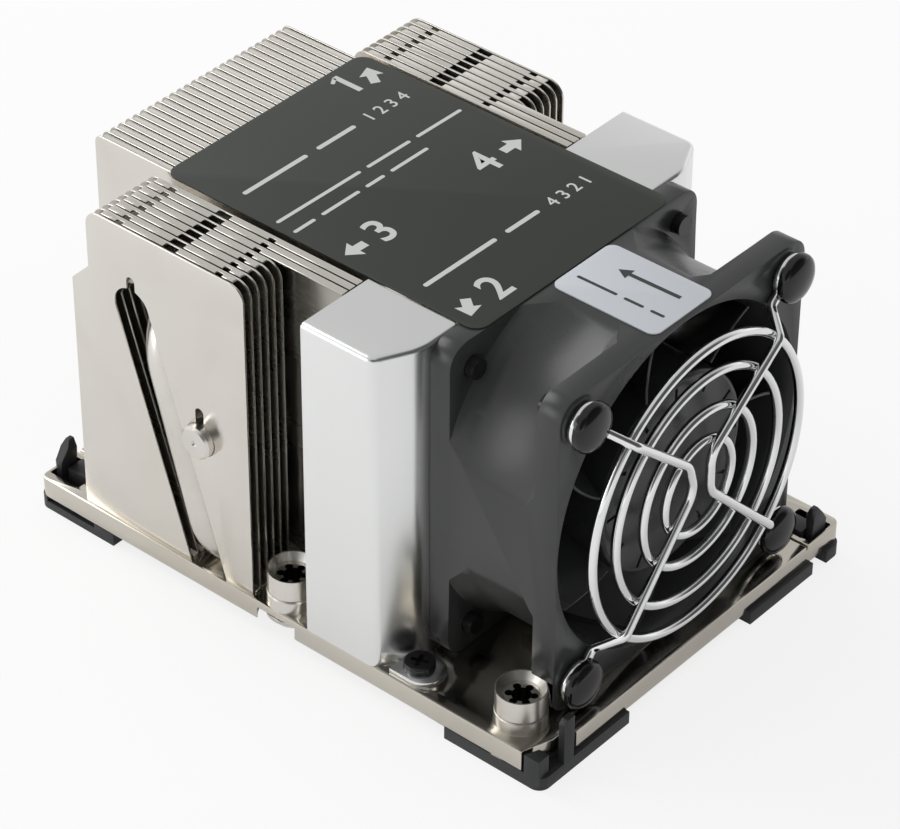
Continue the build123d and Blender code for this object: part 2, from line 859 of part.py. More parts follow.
def fan_frame():
    """The moulded frame: two flanges, barrel, spokes, motor base and bearing tube."""
    front_inner = fan_front_y + fan_front_flange
    back_inner = fan_back_y - fan_back_flange
    frame = fan_round(fan_barrel_radius, front_inner, back_inner)
    frame += fan_cone(fan_barrel_radius, fan_flare_radius, back_inner - fan_flare_length, back_inner)
    front_flare_end = front_inner + fan_front_flare_length
    frame += fan_cone(fan_front_flare_radius, fan_barrel_radius, front_inner, front_flare_end)
    half = fan_size / 2
    frame &= block(-half, half, fan_front_y, fan_back_y, plate_thickness, plate_thickness + fan_size)
    frame += fan_flange(fan_front_y, front_inner)
    frame += fan_flange(back_inner, fan_back_y)
    frame -= fan_round(fan_bore_radius, fan_front_y - 1, fan_back_y + 1)
    frame -= fan_cone(fan_inlet_radius, fan_bore_radius, fan_front_y, fan_front_y + fan_inlet_depth)
    bulb_room = fan_hole_radius + rivet_bulb + rivet_bulb_clearance
    bulb_end = front_inner + rivet_bulb_length + rivet_bulb_clearance
    screw_room = fan_screw_radius + screw_thread_fit
    screw_end = back_inner - fan_screw_end - screw_end_clearance
    for x, z in fan_corners:
        frame -= fan_round(fan_hole_radius, fan_front_y - 1, front_inner + 1, x, z)
        frame -= fan_round(bulb_room, front_inner, bulb_end, x, z)
        frame -= fan_round(screw_room, screw_end, fan_back_y + 1, x, z)
    x, y = nut_places["captive_nut_2"]
    relief = nut_ring_radius + nut_relief_clearance
    frame -= post(x, y, relief, plate_thickness - 1, nut_top + nut_relief_clearance)
    return frame + motor_mount()


def motor_mount():
    """The motor base with its spokes and the tube that holds the bearings."""
    front = motor_base_front_y
    back = motor_base_back_y
    mount = fan_round(motor_base_radius, front, back)
    spoke_front = back - spoke_thickness
    half = spoke_width / 2
    spoke_root = motor_base_radius - spoke_overlap
    for index in range(spoke_count):
        angle = spoke_angle + index * 360 / spoke_count
        spoke = block(spoke_root, fan_bore_radius + spoke_overlap, spoke_front, back, -half, half)
        mount += Pos(0, 0, fan_middle_z) * Rot(0, angle, 0) * spoke
    tube_radius = bearing_radius + bearing_tube_wall
    mount += fan_round(tube_radius, bearing_tube_front_y, front)
    shoulder = bearing_radius - bearing_seat_shoulder
    mount -= fan_round(shoulder, bearing_tube_front_y - 1, back + 1)
    mount -= fan_round(bearing_radius, bearing_tube_front_y - 1, bearing_tube_front_y + bearing_width)
    return mount - fan_round(bearing_radius, rear_bearing_front(), back + 1)


def rear_bearing_front():
    """Where the rear bearing's seat starts."""
    return motor_base_front_y - bearing_width + rear_bearing_inset


def bearing(y0):
    """One small bearing, with its ring faces marked by a shallow groove."""
    y1 = y0 + bearing_width
    ring = fan_round(bearing_radius - bearing_fit, y0, y1)
    ring -= fan_round(shaft_radius + shaft_running_clearance, y0 - 1, y1 + 1)
    outer = bearing_radius - bearing_outer_race
    inner = shaft_radius + bearing_inner_race
    groove = fan_round(outer, y0 - 1, y0 + bearing_groove_depth) - fan_round(inner, y0 - 2, y0 + 1)
    return ring - groove


# Fan rotor

def blade():
    """One broad blade, leaning back along the hub and twisted towards its tip."""
    front = fan_front_y + blade_front_set_back
    back = motor_base_back_y - spoke_thickness - blade_back_gap
    root_radius = hub_radius - blade_root_overlap
    tip_radius = fan_bore_radius + blade_trim
    sections = []
    for radius, sweep_angle, lead in (
        (root_radius, blade_root_sweep, 0.0),
        ((root_radius + tip_radius) / 2, (blade_root_sweep + blade_tip_sweep) / 2, blade_tip_lead / 2),
        (tip_radius, blade_tip_sweep, blade_tip_lead),
    ):
        half_chord = radius * radians(sweep_angle) / 2
        shift = radius * radians(lead)
        half_depth = (back - front) / 2
        middle_y = (front + back) / 2
        bow = blade_bow * half_chord
        plane = Plane(
            origin=(0, middle_y, radius), x_dir=(1, 0, 0), z_dir=(0, 0, 1)
        )
        start = (shift - half_chord, -half_depth)
        end = (shift + half_chord, half_depth)
        length = hypot(2 * half_chord, 2 * half_depth)
        normal = (-2 * half_depth / length, 2 * half_chord / length)
        thick = blade_thickness / 2
        edge = thick * blade_edge_share
        crown = (shift + normal[0] * bow, normal[1] * bow)
        upper = [
            (start[0] + normal[0] * edge, start[1] + normal[1] * edge),
            (crown[0] + normal[0] * thick, crown[1] + normal[1] * thick),
            (end[0] + normal[0] * edge, end[1] + normal[1] * edge),
        ]
        lower = [
            (end[0] - normal[0] * edge, end[1] - normal[1] * edge),
            (crown[0] - normal[0] * thick, crown[1] - normal[1] * thick),
            (start[0] - normal[0] * edge, start[1] - normal[1] * edge),
        ]
        edges = [
            ThreePointArc(*upper),
            Line(upper[2], lower[0]),
            ThreePointArc(*lower),
            Line(lower[2], upper[0]),
        ]
        sections.append(plane * make_face(edges))
    wing = loft(sections)
    far = fan_size
    front_cut = block(-far, far, front - far, front, -far, far)
    back_cut = block(-far, far, back, back + far, -far, far)
    wing -= [front_cut, back_cut]
    tip = fan_bore_radius - blade_tip_gap
    return Pos(0, 0, fan_middle_z) * wing & fan_round(tip, fan_front_y, fan_back_y)


def fan_rotor():
    """The moulded hub cup and its blades."""
    hub = fan_round(hub_radius, hub_front_y, hub_back_y)
    hub = fillet(hub.edges().sort_by(Axis.Y)[0], hub_edge_radius)
    one_blade = blade()
    middle = Pos(0, 0, fan_middle_z)
    for index in range(blade_count):
        turn = middle * Rot(0, index * 360 / blade_count, 0) * Pos(0, 0, -fan_middle_z)
        hub += turn * one_blade
    inner = hub_radius - hub_wall
    hub -= fan_round(inner, hub_front_y + hub_wall, fan_back_y)
    boss_back = hub_front_y + hub_wall + hub_boss_length
    hub += fan_round(hub_boss_radius, hub_front_y + hub_wall / 2, boss_back)
    hub -= fan_round(shaft_radius, hub_front_y + hub_wall, boss_back + 1)
    for index in range(hub_rib_count):
        rib_end = hub_radius - hub_edge_radius - hub_rib_margin
        rib_start = rib_end - hub_rib_length
        half = hub_rib_width / 2
        rib = block(rib_start, rib_end, hub_front_y - 1, hub_front_y + hub_rib_height, -half, half)
        hub -= middle * Rot(0, index * 360 / hub_rib_count, 0) * rib
    return hub


def rotor_yoke():
    """The steel ring inside the hub."""
    outer = hub_radius - hub_wall - yoke_fit
    front = hub_front_y + hub_wall
    back = front + yoke_length
    return fan_round(outer, front, back) - fan_round(outer - yoke_thickness, front - 1, back + 1)


def magnet_outer():
    """The magnet ring's outer radius."""
    return hub_radius - hub_wall - yoke_fit - yoke_thickness - magnet_fit


def rotor_magnet():
    """The ring magnet inside the steel ring."""
    front = hub_front_y + hub_wall + (yoke_length - magnet_length) / 2
    back = front + magnet_length
    inner = magnet_outer() - magnet_thickness
    return fan_round(magnet_outer(), front, back) - fan_round(inner, front - 1, back + 1)


def shaft_end():
    """The rear end of the rotor shaft."""
    return rear_bearing_front() + bearing_width + clip_ring_gap + clip_ring_thickness + shaft_rear_stub


def clip_groove_front():
    """Where the groove for the shaft's retaining clip starts."""
    return rear_bearing_front() + bearing_width + clip_ring_gap


def rotor_shaft():
    """The shaft, pressed into the hub and grooved for its clip."""
    shaft = fan_round(shaft_radius, hub_front_y + hub_wall, shaft_end())
    groove_front = clip_groove_front()
    groove_back = groove_front + clip_ring_thickness
    groove = fan_round(shaft_radius + 1, groove_front, groove_back)
    groove -= fan_round(shaft_radius - shaft_groove_depth, groove_front - 1, groove_back + 1)
    return shaft - groove


def shaft_clip():
    """The open clip that keeps the shaft in its bearings."""
    front = clip_groove_front() + clip_ring_fit
    back = front + clip_ring_thickness - 2 * clip_ring_fit
    inner = shaft_radius - shaft_groove_depth + clip_ring_fit
    ring = fan_round(clip_ring_radius, front, back) - fan_round(inner, front - 1, back + 1)
    half = clip_ring_mouth / 2
    top = fan_middle_z + clip_ring_radius + 1
    return ring - block(-half, half, front - 1, back + 1, fan_middle_z, top)


def preload_washer():
    """The spring washer between the hub's boss and the front bearing."""
    back = bearing_tube_front_y - washer_gap
    inner = shaft_radius + shaft_running_clearance
    front = back - washer_thickness
    return fan_round(washer_radius, front, back) - fan_round(inner, front - 1, back + 1)


# Fan motor

def stator_front():
    """The front face of the stator core, level with the magnet's middle."""
    magnet_middle = hub_front_y + hub_wall + yoke_length / 2
    return magnet_middle - stator_length / 2


def stator_outer():
    """The radius over the stator's pole shoes."""
    return magnet_outer() - magnet_thickness - air_gap


def pole_turn(index):
    """The turn that brings a pole to its place."""
    angle = index * 360 / stator_pole_count
    return Pos(0, 0, fan_middle_z) * Rot(0, angle, 0)


def stator_core():
    """The stack of laminations: a ring with four T-shaped poles."""
    front = stator_front()
    back = front + stator_length
    outer = stator_outer()
    core = fan_round(stator_core_radius, front, back)
    shoes = fan_round(outer, front, back) - fan_round(outer - stator_shoe_depth, front - 1, back + 1)
    gap = stator_shoe_gap / 2
    for index in range(stator_pole_count):
        half = stator_pole_width / 2
        core += pole_turn(index) * block(0, outer - stator_shoe_depth / 2, front, back, -half, half)
        slot = block(0, outer + 1, front - 1, back + 1, -gap, gap)
        shoes -= pole_turn(index + 0.5) * slot
    core += shoes
    bore = bearing_radius + bearing_tube_wall + stator_fit
    return core - fan_round(bore, front - 1, back + 1)


def stator_windings():
    """One copper coil round each pole."""
    front = stator_front()
    back = front + stator_length
    half = stator_pole_width / 2 + winding_fit
    inner_x = stator_core_radius + winding_fit + winding_root_gap
    wide = half + winding_thickness
    shoe_inner = stator_outer() - stator_shoe_depth
    outer_x = sqrt(shoe_inner ** 2 - wide ** 2) - winding_fit
    coils = []
    for index in range(stator_pole_count):
        coil = block(inner_x, outer_x, front - winding_fit - winding_thickness,
                     back + winding_fit + winding_thickness, -wide, wide)
        coil = fillet(coil.edges().filter_by(Axis.X), winding_corner)
        hole = block(inner_x - 1, outer_x + 1, front - winding_fit, back + winding_fit, -half, half)
        coils.append(pole_turn(index) * (coil - hole))
    return coils


def fan_circuit_board():
    """The round board that lies on the motor base."""
    back = motor_base_front_y
    front = back - board_thickness
    hole = bearing_radius + bearing_tube_wall + board_hole_clearance
    return fan_round(board_radius, front, back) - fan_round(hole, front - 1, back + 1)


# Wire guard and its rivets

def guard_plane():
    """The plane of the guard's rings."""
    return fan_front_y - guard_plane_gap


def wire_along(points, radii):
    """A round wire along straight runs with rounded corners."""
    route = FilletPolyline(*points, radius=radii)
    start = Plane(origin=route @ 0, z_dir=route % 0)
    return sweep(start * Circle(guard_wire / 2), path=route)


def guard_leg(rivet, knee):
    """Points from a rivet's eyelet forwards and on to a knee near the middle."""
    away_x = knee[0] - rivet[0]
    away_z = knee[1] - rivet[1]
    length = hypot(away_x, away_z)
    unit = (away_x / length, away_z / length)
    low_y = fan_front_y - guard_wire / 2
    high_y = guard_plane() - guard_wire + guard_weld

    def along(distance, y):
        return (rivet[0] + unit[0] * distance, y, rivet[1] + unit[1] * distance)

    return [
        along(guard_eyelet_radius, low_y),
        along(guard_step_start, low_y),
        along(guard_step_end, high_y),
        (knee[0], high_y, knee[1]),
    ]


def support_wire(side, upper, lower):
    """One of the two bent wires that carry the rings from rivet to rivet."""
    high_rivet = (side * fan_hole_offset, fan_middle_z + fan_hole_offset)
    low_rivet = (side * fan_hole_offset, fan_middle_z - fan_hole_offset)
    upper_knee = (upper[0], fan_middle_z + upper[1])
    lower_knee = (lower[0], fan_middle_z + lower[1])
    points = guard_leg(high_rivet, upper_knee) + guard_leg(low_rivet, lower_knee)[::-1]
    step = guard_step_radius
    knee = guard_knee_radius
    return wire_along(points, [step, step, knee, knee, step, step])


def fan_guard():
    """The welded wire guard: four rings, two support wires and four eyelets."""
    guard = support_wire(-1, left_wire_upper, left_wire_lower)
    guard += support_wire(1, right_wire_upper, right_wire_lower)
    for radius in guard_ring_radii:
        ring = Rot(90, 0, 0) * Torus(radius, guard_wire / 2)
        guard += Pos(0, guard_plane(), fan_middle_z) * ring
    for x, z in fan_corners:
        eyelet = Rot(90, 0, 0) * Torus(guard_eyelet_radius, guard_wire / 2)
        guard += Pos(x, fan_front_y - guard_wire / 2, z) * eyelet
    return guard


def guard_rivets():
    """The four black push rivets that hold the guard on the fan."""
    seat = fan_front_y - guard_wire
    shank = guard_eyelet_radius - guard_wire / 2 - rivet_shank_fit
    hole_back = fan_front_y + fan_front_flange
    rim = seat - rivet_head_rim
    crown = seat - rivet_head_height
    bulb = fan_hole_radius + rivet_bulb
    dome = rim - crown
    dome_radius = (rivet_head_radius ** 2 + dome ** 2) / (2 * dome)
    half_way = rivet_head_radius / 2
    half_way_y = crown + dome_radius - sqrt(dome_radius ** 2 - half_way ** 2)
    neck = shank - rivet_shank_fit
    tip = hole_back + rivet_bulb_length
    catch = hole_back + rivet_play
    profile = make_face([
        Line((0, crown), (0, tip)),
        Line((0, tip), (neck, tip)),
        Line((neck, tip), (bulb, catch + rivet_bulb)),
        Line((bulb, catch + rivet_bulb), (bulb, catch)),
        Line((bulb, catch), (neck, catch)),
        Line((neck, catch), (neck, seat)),
        Line((neck, seat), (rivet_head_radius, seat)),
        Line((rivet_head_radius, seat), (rivet_head_radius, rim)),
        ThreePointArc((rivet_head_radius, rim), (half_way, half_way_y), (0, crown)),
    ])
    rivet = revolve(profile, Axis.Y)
    return [Pos(x, 0, z) * rivet for x, z in fan_corners]


# Labels

def sheet_label(width, y0, y1, corner, middle_x):
    """A thin label with rounded corners, lying on the stack's top."""
    label = block(middle_x - width / 2, middle_x + width / 2, y0, y1, stack_top, stack_top + label_thickness)
    return fillet(label.edges().filter_by(Axis.Z), corner)


def top_label():
    """The dark label over the middle fins and the fan's back flange."""
    return sheet_label(label_width, label_front_y, label_back_y, label_corner, 0.0)


def airflow_label():
    """The white label on the flat top of the fan."""
    front = fan_front_y + flow_label_front_gap
    back = front + flow_label_length
    return sheet_label(flow_label_width, front, back, flow_label_corner, flow_label_x)


# Carrier clip

def clip_outline_cuts():
    """The stretches of the clip's edge that stand back under the plate."""
    outer_x = plate_half_width + clip_side_recess
    outer_y = plate_half_length + clip_overhang + clip_end_recess
    side_x = plate_half_width - clip_side_recess
    end_y = plate_half_length + clip_overhang - clip_end_recess
    low = -clip_thickness - 1
    side_front = clip_front_foot_length - plate_half_length
    side_back = plate_half_length - clip_back_foot_length
    end_left = clip_left_foot_width - plate_half_width
    end_right = plate_half_width - clip_right_foot_width
    gap_left = plate_half_width - clip_foot_gap_inner
    gap_right = plate_half_width - clip_foot_gap_outer
    step_x = plate_half_width - clip_step_width
    step_y = plate_half_length + clip_overhang - clip_corner_radius
    step_low = contact_pad_rise - clip_step_drop
    return [
        block(-outer_x, -side_x, side_front, side_back, low, 1),
        block(end_left, end_right, -outer_y, -end_y, low, 1),
        block(gap_left, gap_right, -outer_y, -end_y, low, 1),
        block(-outer_x, -step_x, step_y - clip_step_length, step_y, step_low, 1),
    ]


def clip_latch():
    """The upright latch tab at the front right and the block beside it."""
    half = latch_width / 2
    window_front = -latch_window_y - latch_window_length / 2 + latch_window_margin
    y0 = window_front
    y1 = y0 + latch_thickness
    top = plate_thickness + latch_height
    shoulder = top - latch_nose_drop
    root = contact_pad_rise - clip_thickness / 2
    outline = [
        (y0, root),
        (y1, root),
        (y1, plate_thickness),
        (y1 + latch_nose_reach, shoulder),
        (y1 - latch_tip_inset, top),
        (y0 + latch_tip_inset, top),
        (y0 - latch_tip_inset, shoulder),
        (y0, plate_thickness),
    ]
    tab = across(outline, latch_window_x - half, latch_window_x + half)
    tab_edges = tab.edges().sort_by(Axis.Z).filter_by(lambda e: e.center().Z > shoulder + 0.1)
    tab = fillet(tab_edges.filter_by(lambda e: abs(e.center().X - latch_window_x) > half - 0.1), latch_corner)
    tip_x = latch_window_x - half + latch_tip_width
    slope_low = plate_thickness + latch_slope_rise
    slope = [(latch_window_x + half, slope_low), (tip_x, top), (tip_x, top + 1),
             (latch_window_x + half + 1, top + 1), (latch_window_x + half + 1, slope_low)]
    slope_face = make_face(Polyline(*slope, close=True))
    tab -= extrude(Plane.XZ.offset(-y0 + 1) * slope_face, -(latch_thickness + latch_nose_reach + 2))
    block_left = latch_window_x - latch_window_width / 2 + latch_window_margin
    block_back = -latch_window_y + latch_window_length / 2 - latch_window_margin
    block_right = latch_window_x + latch_block_right
    stop = block(block_left, block_right, y1 + latch_block_gap, block_back,
                 root, plate_thickness + latch_block_rise)
    return tab + stop


def clip_posts():
    """The corner post and the hook post at the front left."""
    left = -plate_half_width
    front = -plate_half_length
    low = contact_pad_rise - clip_thickness / 2
    top = plate_thickness - corner_post_drop
    right = left + corner_post_width
    back = front + corner_post_depth
    corner = upright([(left, front), (right, front), (right, front + corner_post_side), (left, back)], low, top)
    half = hook_post_width / 2
    y0 = front - clip_overhang
    y1 = y0 + hook_post_depth
    hook_top = plate_thickness + hook_post_rise
    hook = block(-hook_post_x - half, -hook_post_x + half, y0, y1, low, hook_top)
    slope_edge = hook.edges().filter_by(Axis.Y).sort_by(Axis.Z)[-2:].sort_by(Axis.X)[0]
    return corner + chamfer(slope_edge, hook_post_chamfer)


def carrier_clip():
    """The plastic frame under the plate that carries the processor."""
    half_x = plate_half_width
    half_y = plate_half_length + clip_overhang
    high = contact_pad_rise
    low = high - clip_thickness
    clip = block(-half_x, half_x, -half_y, half_y, low, high)
    clip = fillet(clip.edges().filter_by(Axis.Z), clip_corner_radius)
    window_x = plate_half_width - clip_side_width
    window_y = plate_half_length - clip_end_width
    cuts = clip_outline_cuts()
    cuts += [half_turn(cut) for cut in clip_outline_cuts()]
    cuts.append(block(-window_x, window_x, -window_y, window_y, low - 1, high + 1))
    for x, y in nut_places.values():
        cuts.append(post(x, y, clip_stud_hole_radius, low - 1, high + 1))
    clip -= cuts
    for piece in (clip_latch(), clip_posts()):
        clip += piece
        clip += half_turn(piece)
    return clip


def all_parts():
    """Every piece by its name, each as a list of its solids."""
    pieces = {
        "base_plate": [base_plate()],
        "tall_heat_pipe": [heat_pipe(*tall_pipe_values())],
        "low_heat_pipe": [heat_pipe(*low_pipe_values())],
        "centre_fins": centre_fins(),
        "left_side_fins": side_fins(-1),
        "right_side_fins": side_fins(1),
        "left_duct_bracket": [mirrored(duct_bracket())],
        "right_duct_bracket": [duct_bracket()],
        "bracket_screws": bracket_screws(),
        "fan_frame": [fan_frame()],
        "fan_mount_screws": fan_mount_screws(),
        "fan_rotor": [fan_rotor()],
        "rotor_yoke": [rotor_yoke()],
        "rotor_magnet": [rotor_magnet()],
        "rotor_shaft": [rotor_shaft()],
        "shaft_clip": [shaft_clip()],
        "preload_washer": [preload_washer()],
        "front_bearing": [bearing(bearing_tube_front_y)],
        "rear_bearing": [bearing(rear_bearing_front())],
        "stator_core": [stator_core()],
        "stator_windings": stator_windings(),
        "fan_circuit_board": [fan_circuit_board()],
        "fan_guard": [fan_guard()],
        "guard_rivets": guard_rivets(),
        "top_label": [top_label()],
        "airflow_label": [airflow_label()],
        "carrier_clip": [carrier_clip()],
    }
    for name, (x, y) in nut_places.items():
        turn = 0 if x < 0 else 180
        pieces[name] = [Pos(x, y, 0) * captive_nut()]
        pieces[name.replace("captive_nut", "nut_ring")] = [
            Pos(x, y, 0) * Rot(0, 0, turn) * retaining_ring()
        ]
    return pieces


os.makedirs("parts", exist_ok=True)
for name, shapes in all_parts().items():
    solids = []
    for shape in shapes:
        solids += shape.solids()
    whole = solids[0] if len(solids) == 1 else Compound(children=solids)
    export_step(whole, f"parts/{name}.step")
    print(name, len(solids), "solids")
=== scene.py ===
# %% [markdown]
# This notebook dresses a server processor cooler: folded nickel fins on a flat plate, heat
# pipes, a 60 mm fan behind a chromed wire guard, and labels. The solids come packed from the
# CAD model and stay where they are. What is made here is their finish, and the pieces whose
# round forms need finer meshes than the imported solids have.

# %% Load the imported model
from math import atan2, cos, pi, radians, sin, tan

import bmesh
import bpy
from mathutils import Euler, Matrix, Vector


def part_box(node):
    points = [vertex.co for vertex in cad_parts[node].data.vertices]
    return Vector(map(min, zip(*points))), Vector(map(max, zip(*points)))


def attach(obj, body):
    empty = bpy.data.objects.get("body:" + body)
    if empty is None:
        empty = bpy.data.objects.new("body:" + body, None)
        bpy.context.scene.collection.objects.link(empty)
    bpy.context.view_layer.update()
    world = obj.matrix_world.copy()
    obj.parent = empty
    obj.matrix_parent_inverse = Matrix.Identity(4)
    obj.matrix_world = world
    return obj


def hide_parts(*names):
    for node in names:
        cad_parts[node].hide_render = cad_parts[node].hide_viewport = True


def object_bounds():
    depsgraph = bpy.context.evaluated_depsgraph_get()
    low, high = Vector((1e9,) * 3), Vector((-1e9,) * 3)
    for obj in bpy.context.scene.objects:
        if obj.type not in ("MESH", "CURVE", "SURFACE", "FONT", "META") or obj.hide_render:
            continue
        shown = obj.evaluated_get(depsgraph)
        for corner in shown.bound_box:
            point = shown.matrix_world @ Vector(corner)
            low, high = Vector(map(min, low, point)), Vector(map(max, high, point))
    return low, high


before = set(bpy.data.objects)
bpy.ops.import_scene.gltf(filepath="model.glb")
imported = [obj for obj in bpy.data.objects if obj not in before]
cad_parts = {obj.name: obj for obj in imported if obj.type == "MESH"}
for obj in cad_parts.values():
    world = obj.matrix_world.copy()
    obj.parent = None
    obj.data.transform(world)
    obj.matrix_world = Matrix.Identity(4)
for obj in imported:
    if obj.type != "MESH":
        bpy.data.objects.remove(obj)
cad_low, cad_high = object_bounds()
MM = 0.001

# %% [markdown]
# Operators act on whatever is selected, and a fresh import is selected all over. So every
# step starts from a clean selection. Small helpers see to that, apply a modifier, choose
# faces by where they lie and look, and settle a piece so that its place is in its mesh and
# its object sits at the origin. Lengths are given in millimetres and brought to metres
# with MM. A face looks along an axis when its normal's share of it is above FACING.

# %% Helpers for selecting, shaping and settling
FACING = 0.9


def select_only(piece):
    """Leaves object mode's selection on one piece and makes it active."""
    if bpy.context.object and bpy.context.object.mode != "OBJECT":
        bpy.ops.object.mode_set(mode="OBJECT")
    bpy.ops.object.select_all(action="DESELECT")
    piece.select_set(True)
    bpy.context.view_layer.objects.active = piece


def shape_with(piece, kind, **settings):
    """Adds one modifier with its settings and applies it."""
    select_only(piece)
    modifier = piece.modifiers.new(kind.lower(), kind)
    for name, value in settings.items():
        setattr(modifier, name, value)
    bpy.ops.object.modifier_apply(modifier=modifier.name)


def settle(piece, smooth_angle=30.0):
    """Moves a piece's place into its mesh and shades it smooth up to an angle."""
    select_only(piece)
    bpy.ops.object.transform_apply(location=True, rotation=True, scale=True)
    bpy.ops.object.shade_smooth_by_angle(angle=radians(smooth_angle))


def edit_whole(piece):
    """Enters edit mode with the whole piece selected."""
    select_only(piece)
    bpy.ops.object.mode_set(mode="EDIT")
    bpy.ops.mesh.select_all(action="SELECT")


def edit_faces(piece, wanted):
    """Enters face mode with only the faces selected whose middle and normal are wanted."""
    select_only(piece)
    bpy.ops.object.mode_set(mode="EDIT")
    bpy.ops.mesh.select_mode(type="FACE")
    bpy.ops.mesh.select_all(action="DESELECT")
    bpy.ops.object.mode_set(mode="OBJECT")
    for face in piece.data.polygons:
        face.select = wanted(face.center, face.normal)
    bpy.ops.object.mode_set(mode="EDIT")


def leave_edit():
    """Goes back to object mode, which writes the edits into the mesh."""
    bpy.ops.object.mode_set(mode="OBJECT")


def copy_of(piece):
    """A second piece like the first, with a mesh of its own."""
    other = piece.copy()
    other.data = piece.data.copy()
    bpy.context.scene.collection.objects.link(other)
    return other


def hand_over(piece, body, slot, material, *nodes):
    """Gives a finished piece its material and its body, and hides the solids that it stands for.
    """
    piece.data.materials.clear()
    piece.data.materials.append(material)
    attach(piece, body)
    if nodes:
        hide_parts(*nodes)


def second_finish(piece, material, wanted):
    """Gives the faces that are wanted a second material."""
    piece.data.materials.append(material)
    for face in piece.data.polygons:
        if wanted(piece.data, face):
            face.material_index = 1


# %% [markdown]
# The camera stands where the photograph was taken from: in front, to the left and above,
# far off with a long lens, so that the edges hardly run together. Its place was worked out
# from the object's own corners. The sensor is 36 mm wide and the picture 900 by 829.

# %% Camera
camera_place = (-0.3813, -0.32769, 0.40492)
camera_turn = -49.55
camera_tilt = 52.66
camera_roll = 0.32
camera_lens = 155.11

bpy.ops.object.select_all(action="DESELECT")
bpy.ops.object.camera_add(location=camera_place)
camera = bpy.context.object
looking = Euler((radians(camera_tilt), 0, radians(camera_turn))).to_matrix()
camera.rotation_euler = (looking @ Matrix.Rotation(radians(camera_roll), 3, "Z")).to_euler()
camera.data.lens = camera_lens
camera.data.sensor_width = 36.0
camera.data.clip_start = 0.01
camera.data.clip_end = 20.0
bpy.context.scene.camera = camera
bpy.context.scene.view_settings.view_transform = "Standard"
print("camera set at", camera_place)

# %% [markdown]
# The photograph has a pure white ground. Light would have to be far too strong to burn a
# floor out to white, so the white comes from the floor's own shader: what the camera sees
# is mostly plain white, and the rest is ordinary lit surface that keeps the soft shadow
# under the object. Polished metal shows little but the room, so the mirrors get more of
# the lit floor, with the object's shadow, and a world that is white at the horizon, greyer
# overhead and dark in front, where a studio's room is. That gives the metal its light and
# dark flanks. Each dark place is a direction, the closeness to it at which the darkness
# starts and is full, and the light that is left.

# %% Floor and world
floor_half_size = 3.0
floor_grey = 0.97
white_to_camera = 0.80
white_to_mirrors = 0.12
world_level = 0.60
horizon_height = 0.05
overhead_height = 0.55
overhead_level = 0.60
dark_places = (
    ((0.30, -0.84, 0.45), 0.62, 0.86, 0.12),
    ((-0.68, -0.50, 0.54), 0.87, 0.94, 0.15),
)

bpy.ops.object.select_all(action="DESELECT")
bpy.ops.mesh.primitive_plane_add(size=2 * floor_half_size, location=(0, 0, cad_low.z))
floor = bpy.context.object
floor.name = "studio_floor"


def calculated(tree, operation, *values):
    """A math node on sockets and plain numbers, and its result."""
    node = tree.nodes.new("ShaderNodeMath")
    node.operation = operation
    for place, value in enumerate(values):
        if isinstance(value, (int, float)):
            node.inputs[place].default_value = value
        else:
            tree.links.new(value, node.inputs[place])
    return node.outputs[0]


def brought(tree, source, first, last, low, high):
    """A value that runs from low to high while the source runs from first to last."""
    node = tree.nodes.new("ShaderNodeMapRange")
    ends = {"From Min": first, "From Max": last, "To Min": low, "To Max": high}
    for label, value in ends.items():
        node.inputs[label].default_value = value
    tree.links.new(source, node.inputs["Value"])
    return node.outputs[0]


def straight_rays(tree, rays):
    """1 for what the camera sees directly or through glass, and 0 for all other light."""
    seen = rays.outputs["Is Camera Ray"]
    return calculated(tree, "MAXIMUM", seen, rays.outputs["Is Transmission Ray"])


def blended(tree, share, first, second):
    """One shader turned into another by a share from 0 to 1."""
    blend = tree.nodes.new("ShaderNodeMixShader")
    tree.links.new(share, blend.inputs[0])
    tree.links.new(first.outputs[0], blend.inputs[1])
    tree.links.new(second.outputs[0], blend.inputs[2])
    return blend


floor_paint = bpy.data.materials.new("studio_white")
floor_paint.use_nodes = True
tree = floor_paint.node_tree
tree.nodes.clear()
output = tree.nodes.new("ShaderNodeOutputMaterial")
lit = tree.nodes.new("ShaderNodeBsdfDiffuse")
lit.inputs["Color"].default_value = (floor_grey, floor_grey, floor_grey, 1)
white = tree.nodes.new("ShaderNodeEmission")
white.inputs["Strength"].default_value = 1.0
rays = tree.nodes.new("ShaderNodeLightPath")
straight = calculated(tree, "MULTIPLY", straight_rays(tree, rays), white_to_camera)
mirrored = calculated(tree, "MULTIPLY", rays.outputs["Is Glossy Ray"], white_to_mirrors)
share = calculated(tree, "MAXIMUM", straight, mirrored)
tree.links.new(blended(tree, share, lit, white).outputs[0], output.inputs["Surface"])
floor.data.materials.append(floor_paint)

world = bpy.data.worlds.new("studio")
bpy.context.scene.world = world
world.use_nodes = True
tree = world.node_tree
tree.nodes.clear()
output = tree.nodes.new("ShaderNodeOutputWorld")
plain = tree.nodes.new("ShaderNodeBackground")
plain.inputs["Strength"].default_value = world_level
white = tree.nodes.new("ShaderNodeBackground")
room = tree.nodes.new("ShaderNodeBackground")
for background in (plain, white, room):
    background.inputs["Color"].default_value = (1, 1, 1, 1)
direction = tree.nodes.new("ShaderNodeTexCoord")
parts = tree.nodes.new("ShaderNodeSeparateXYZ")
tree.links.new(direction.outputs["Generated"], parts.inputs[0])
level = brought(tree, parts.outputs["Z"], horizon_height, overhead_height, 1.0, overhead_level)
for place, edge, heart, darkest in dark_places:
    towards = tree.nodes.new("ShaderNodeVectorMath")
    towards.operation = "DOT_PRODUCT"
    towards.inputs[1].default_value = place
    tree.links.new(direction.outputs["Generated"], towards.inputs[0])
    darkness = brought(tree, towards.outputs["Value"], edge, heart, 1.0, darkest)
    level = calculated(tree, "MULTIPLY", level, darkness)
tree.links.new(level, room.inputs["Strength"])
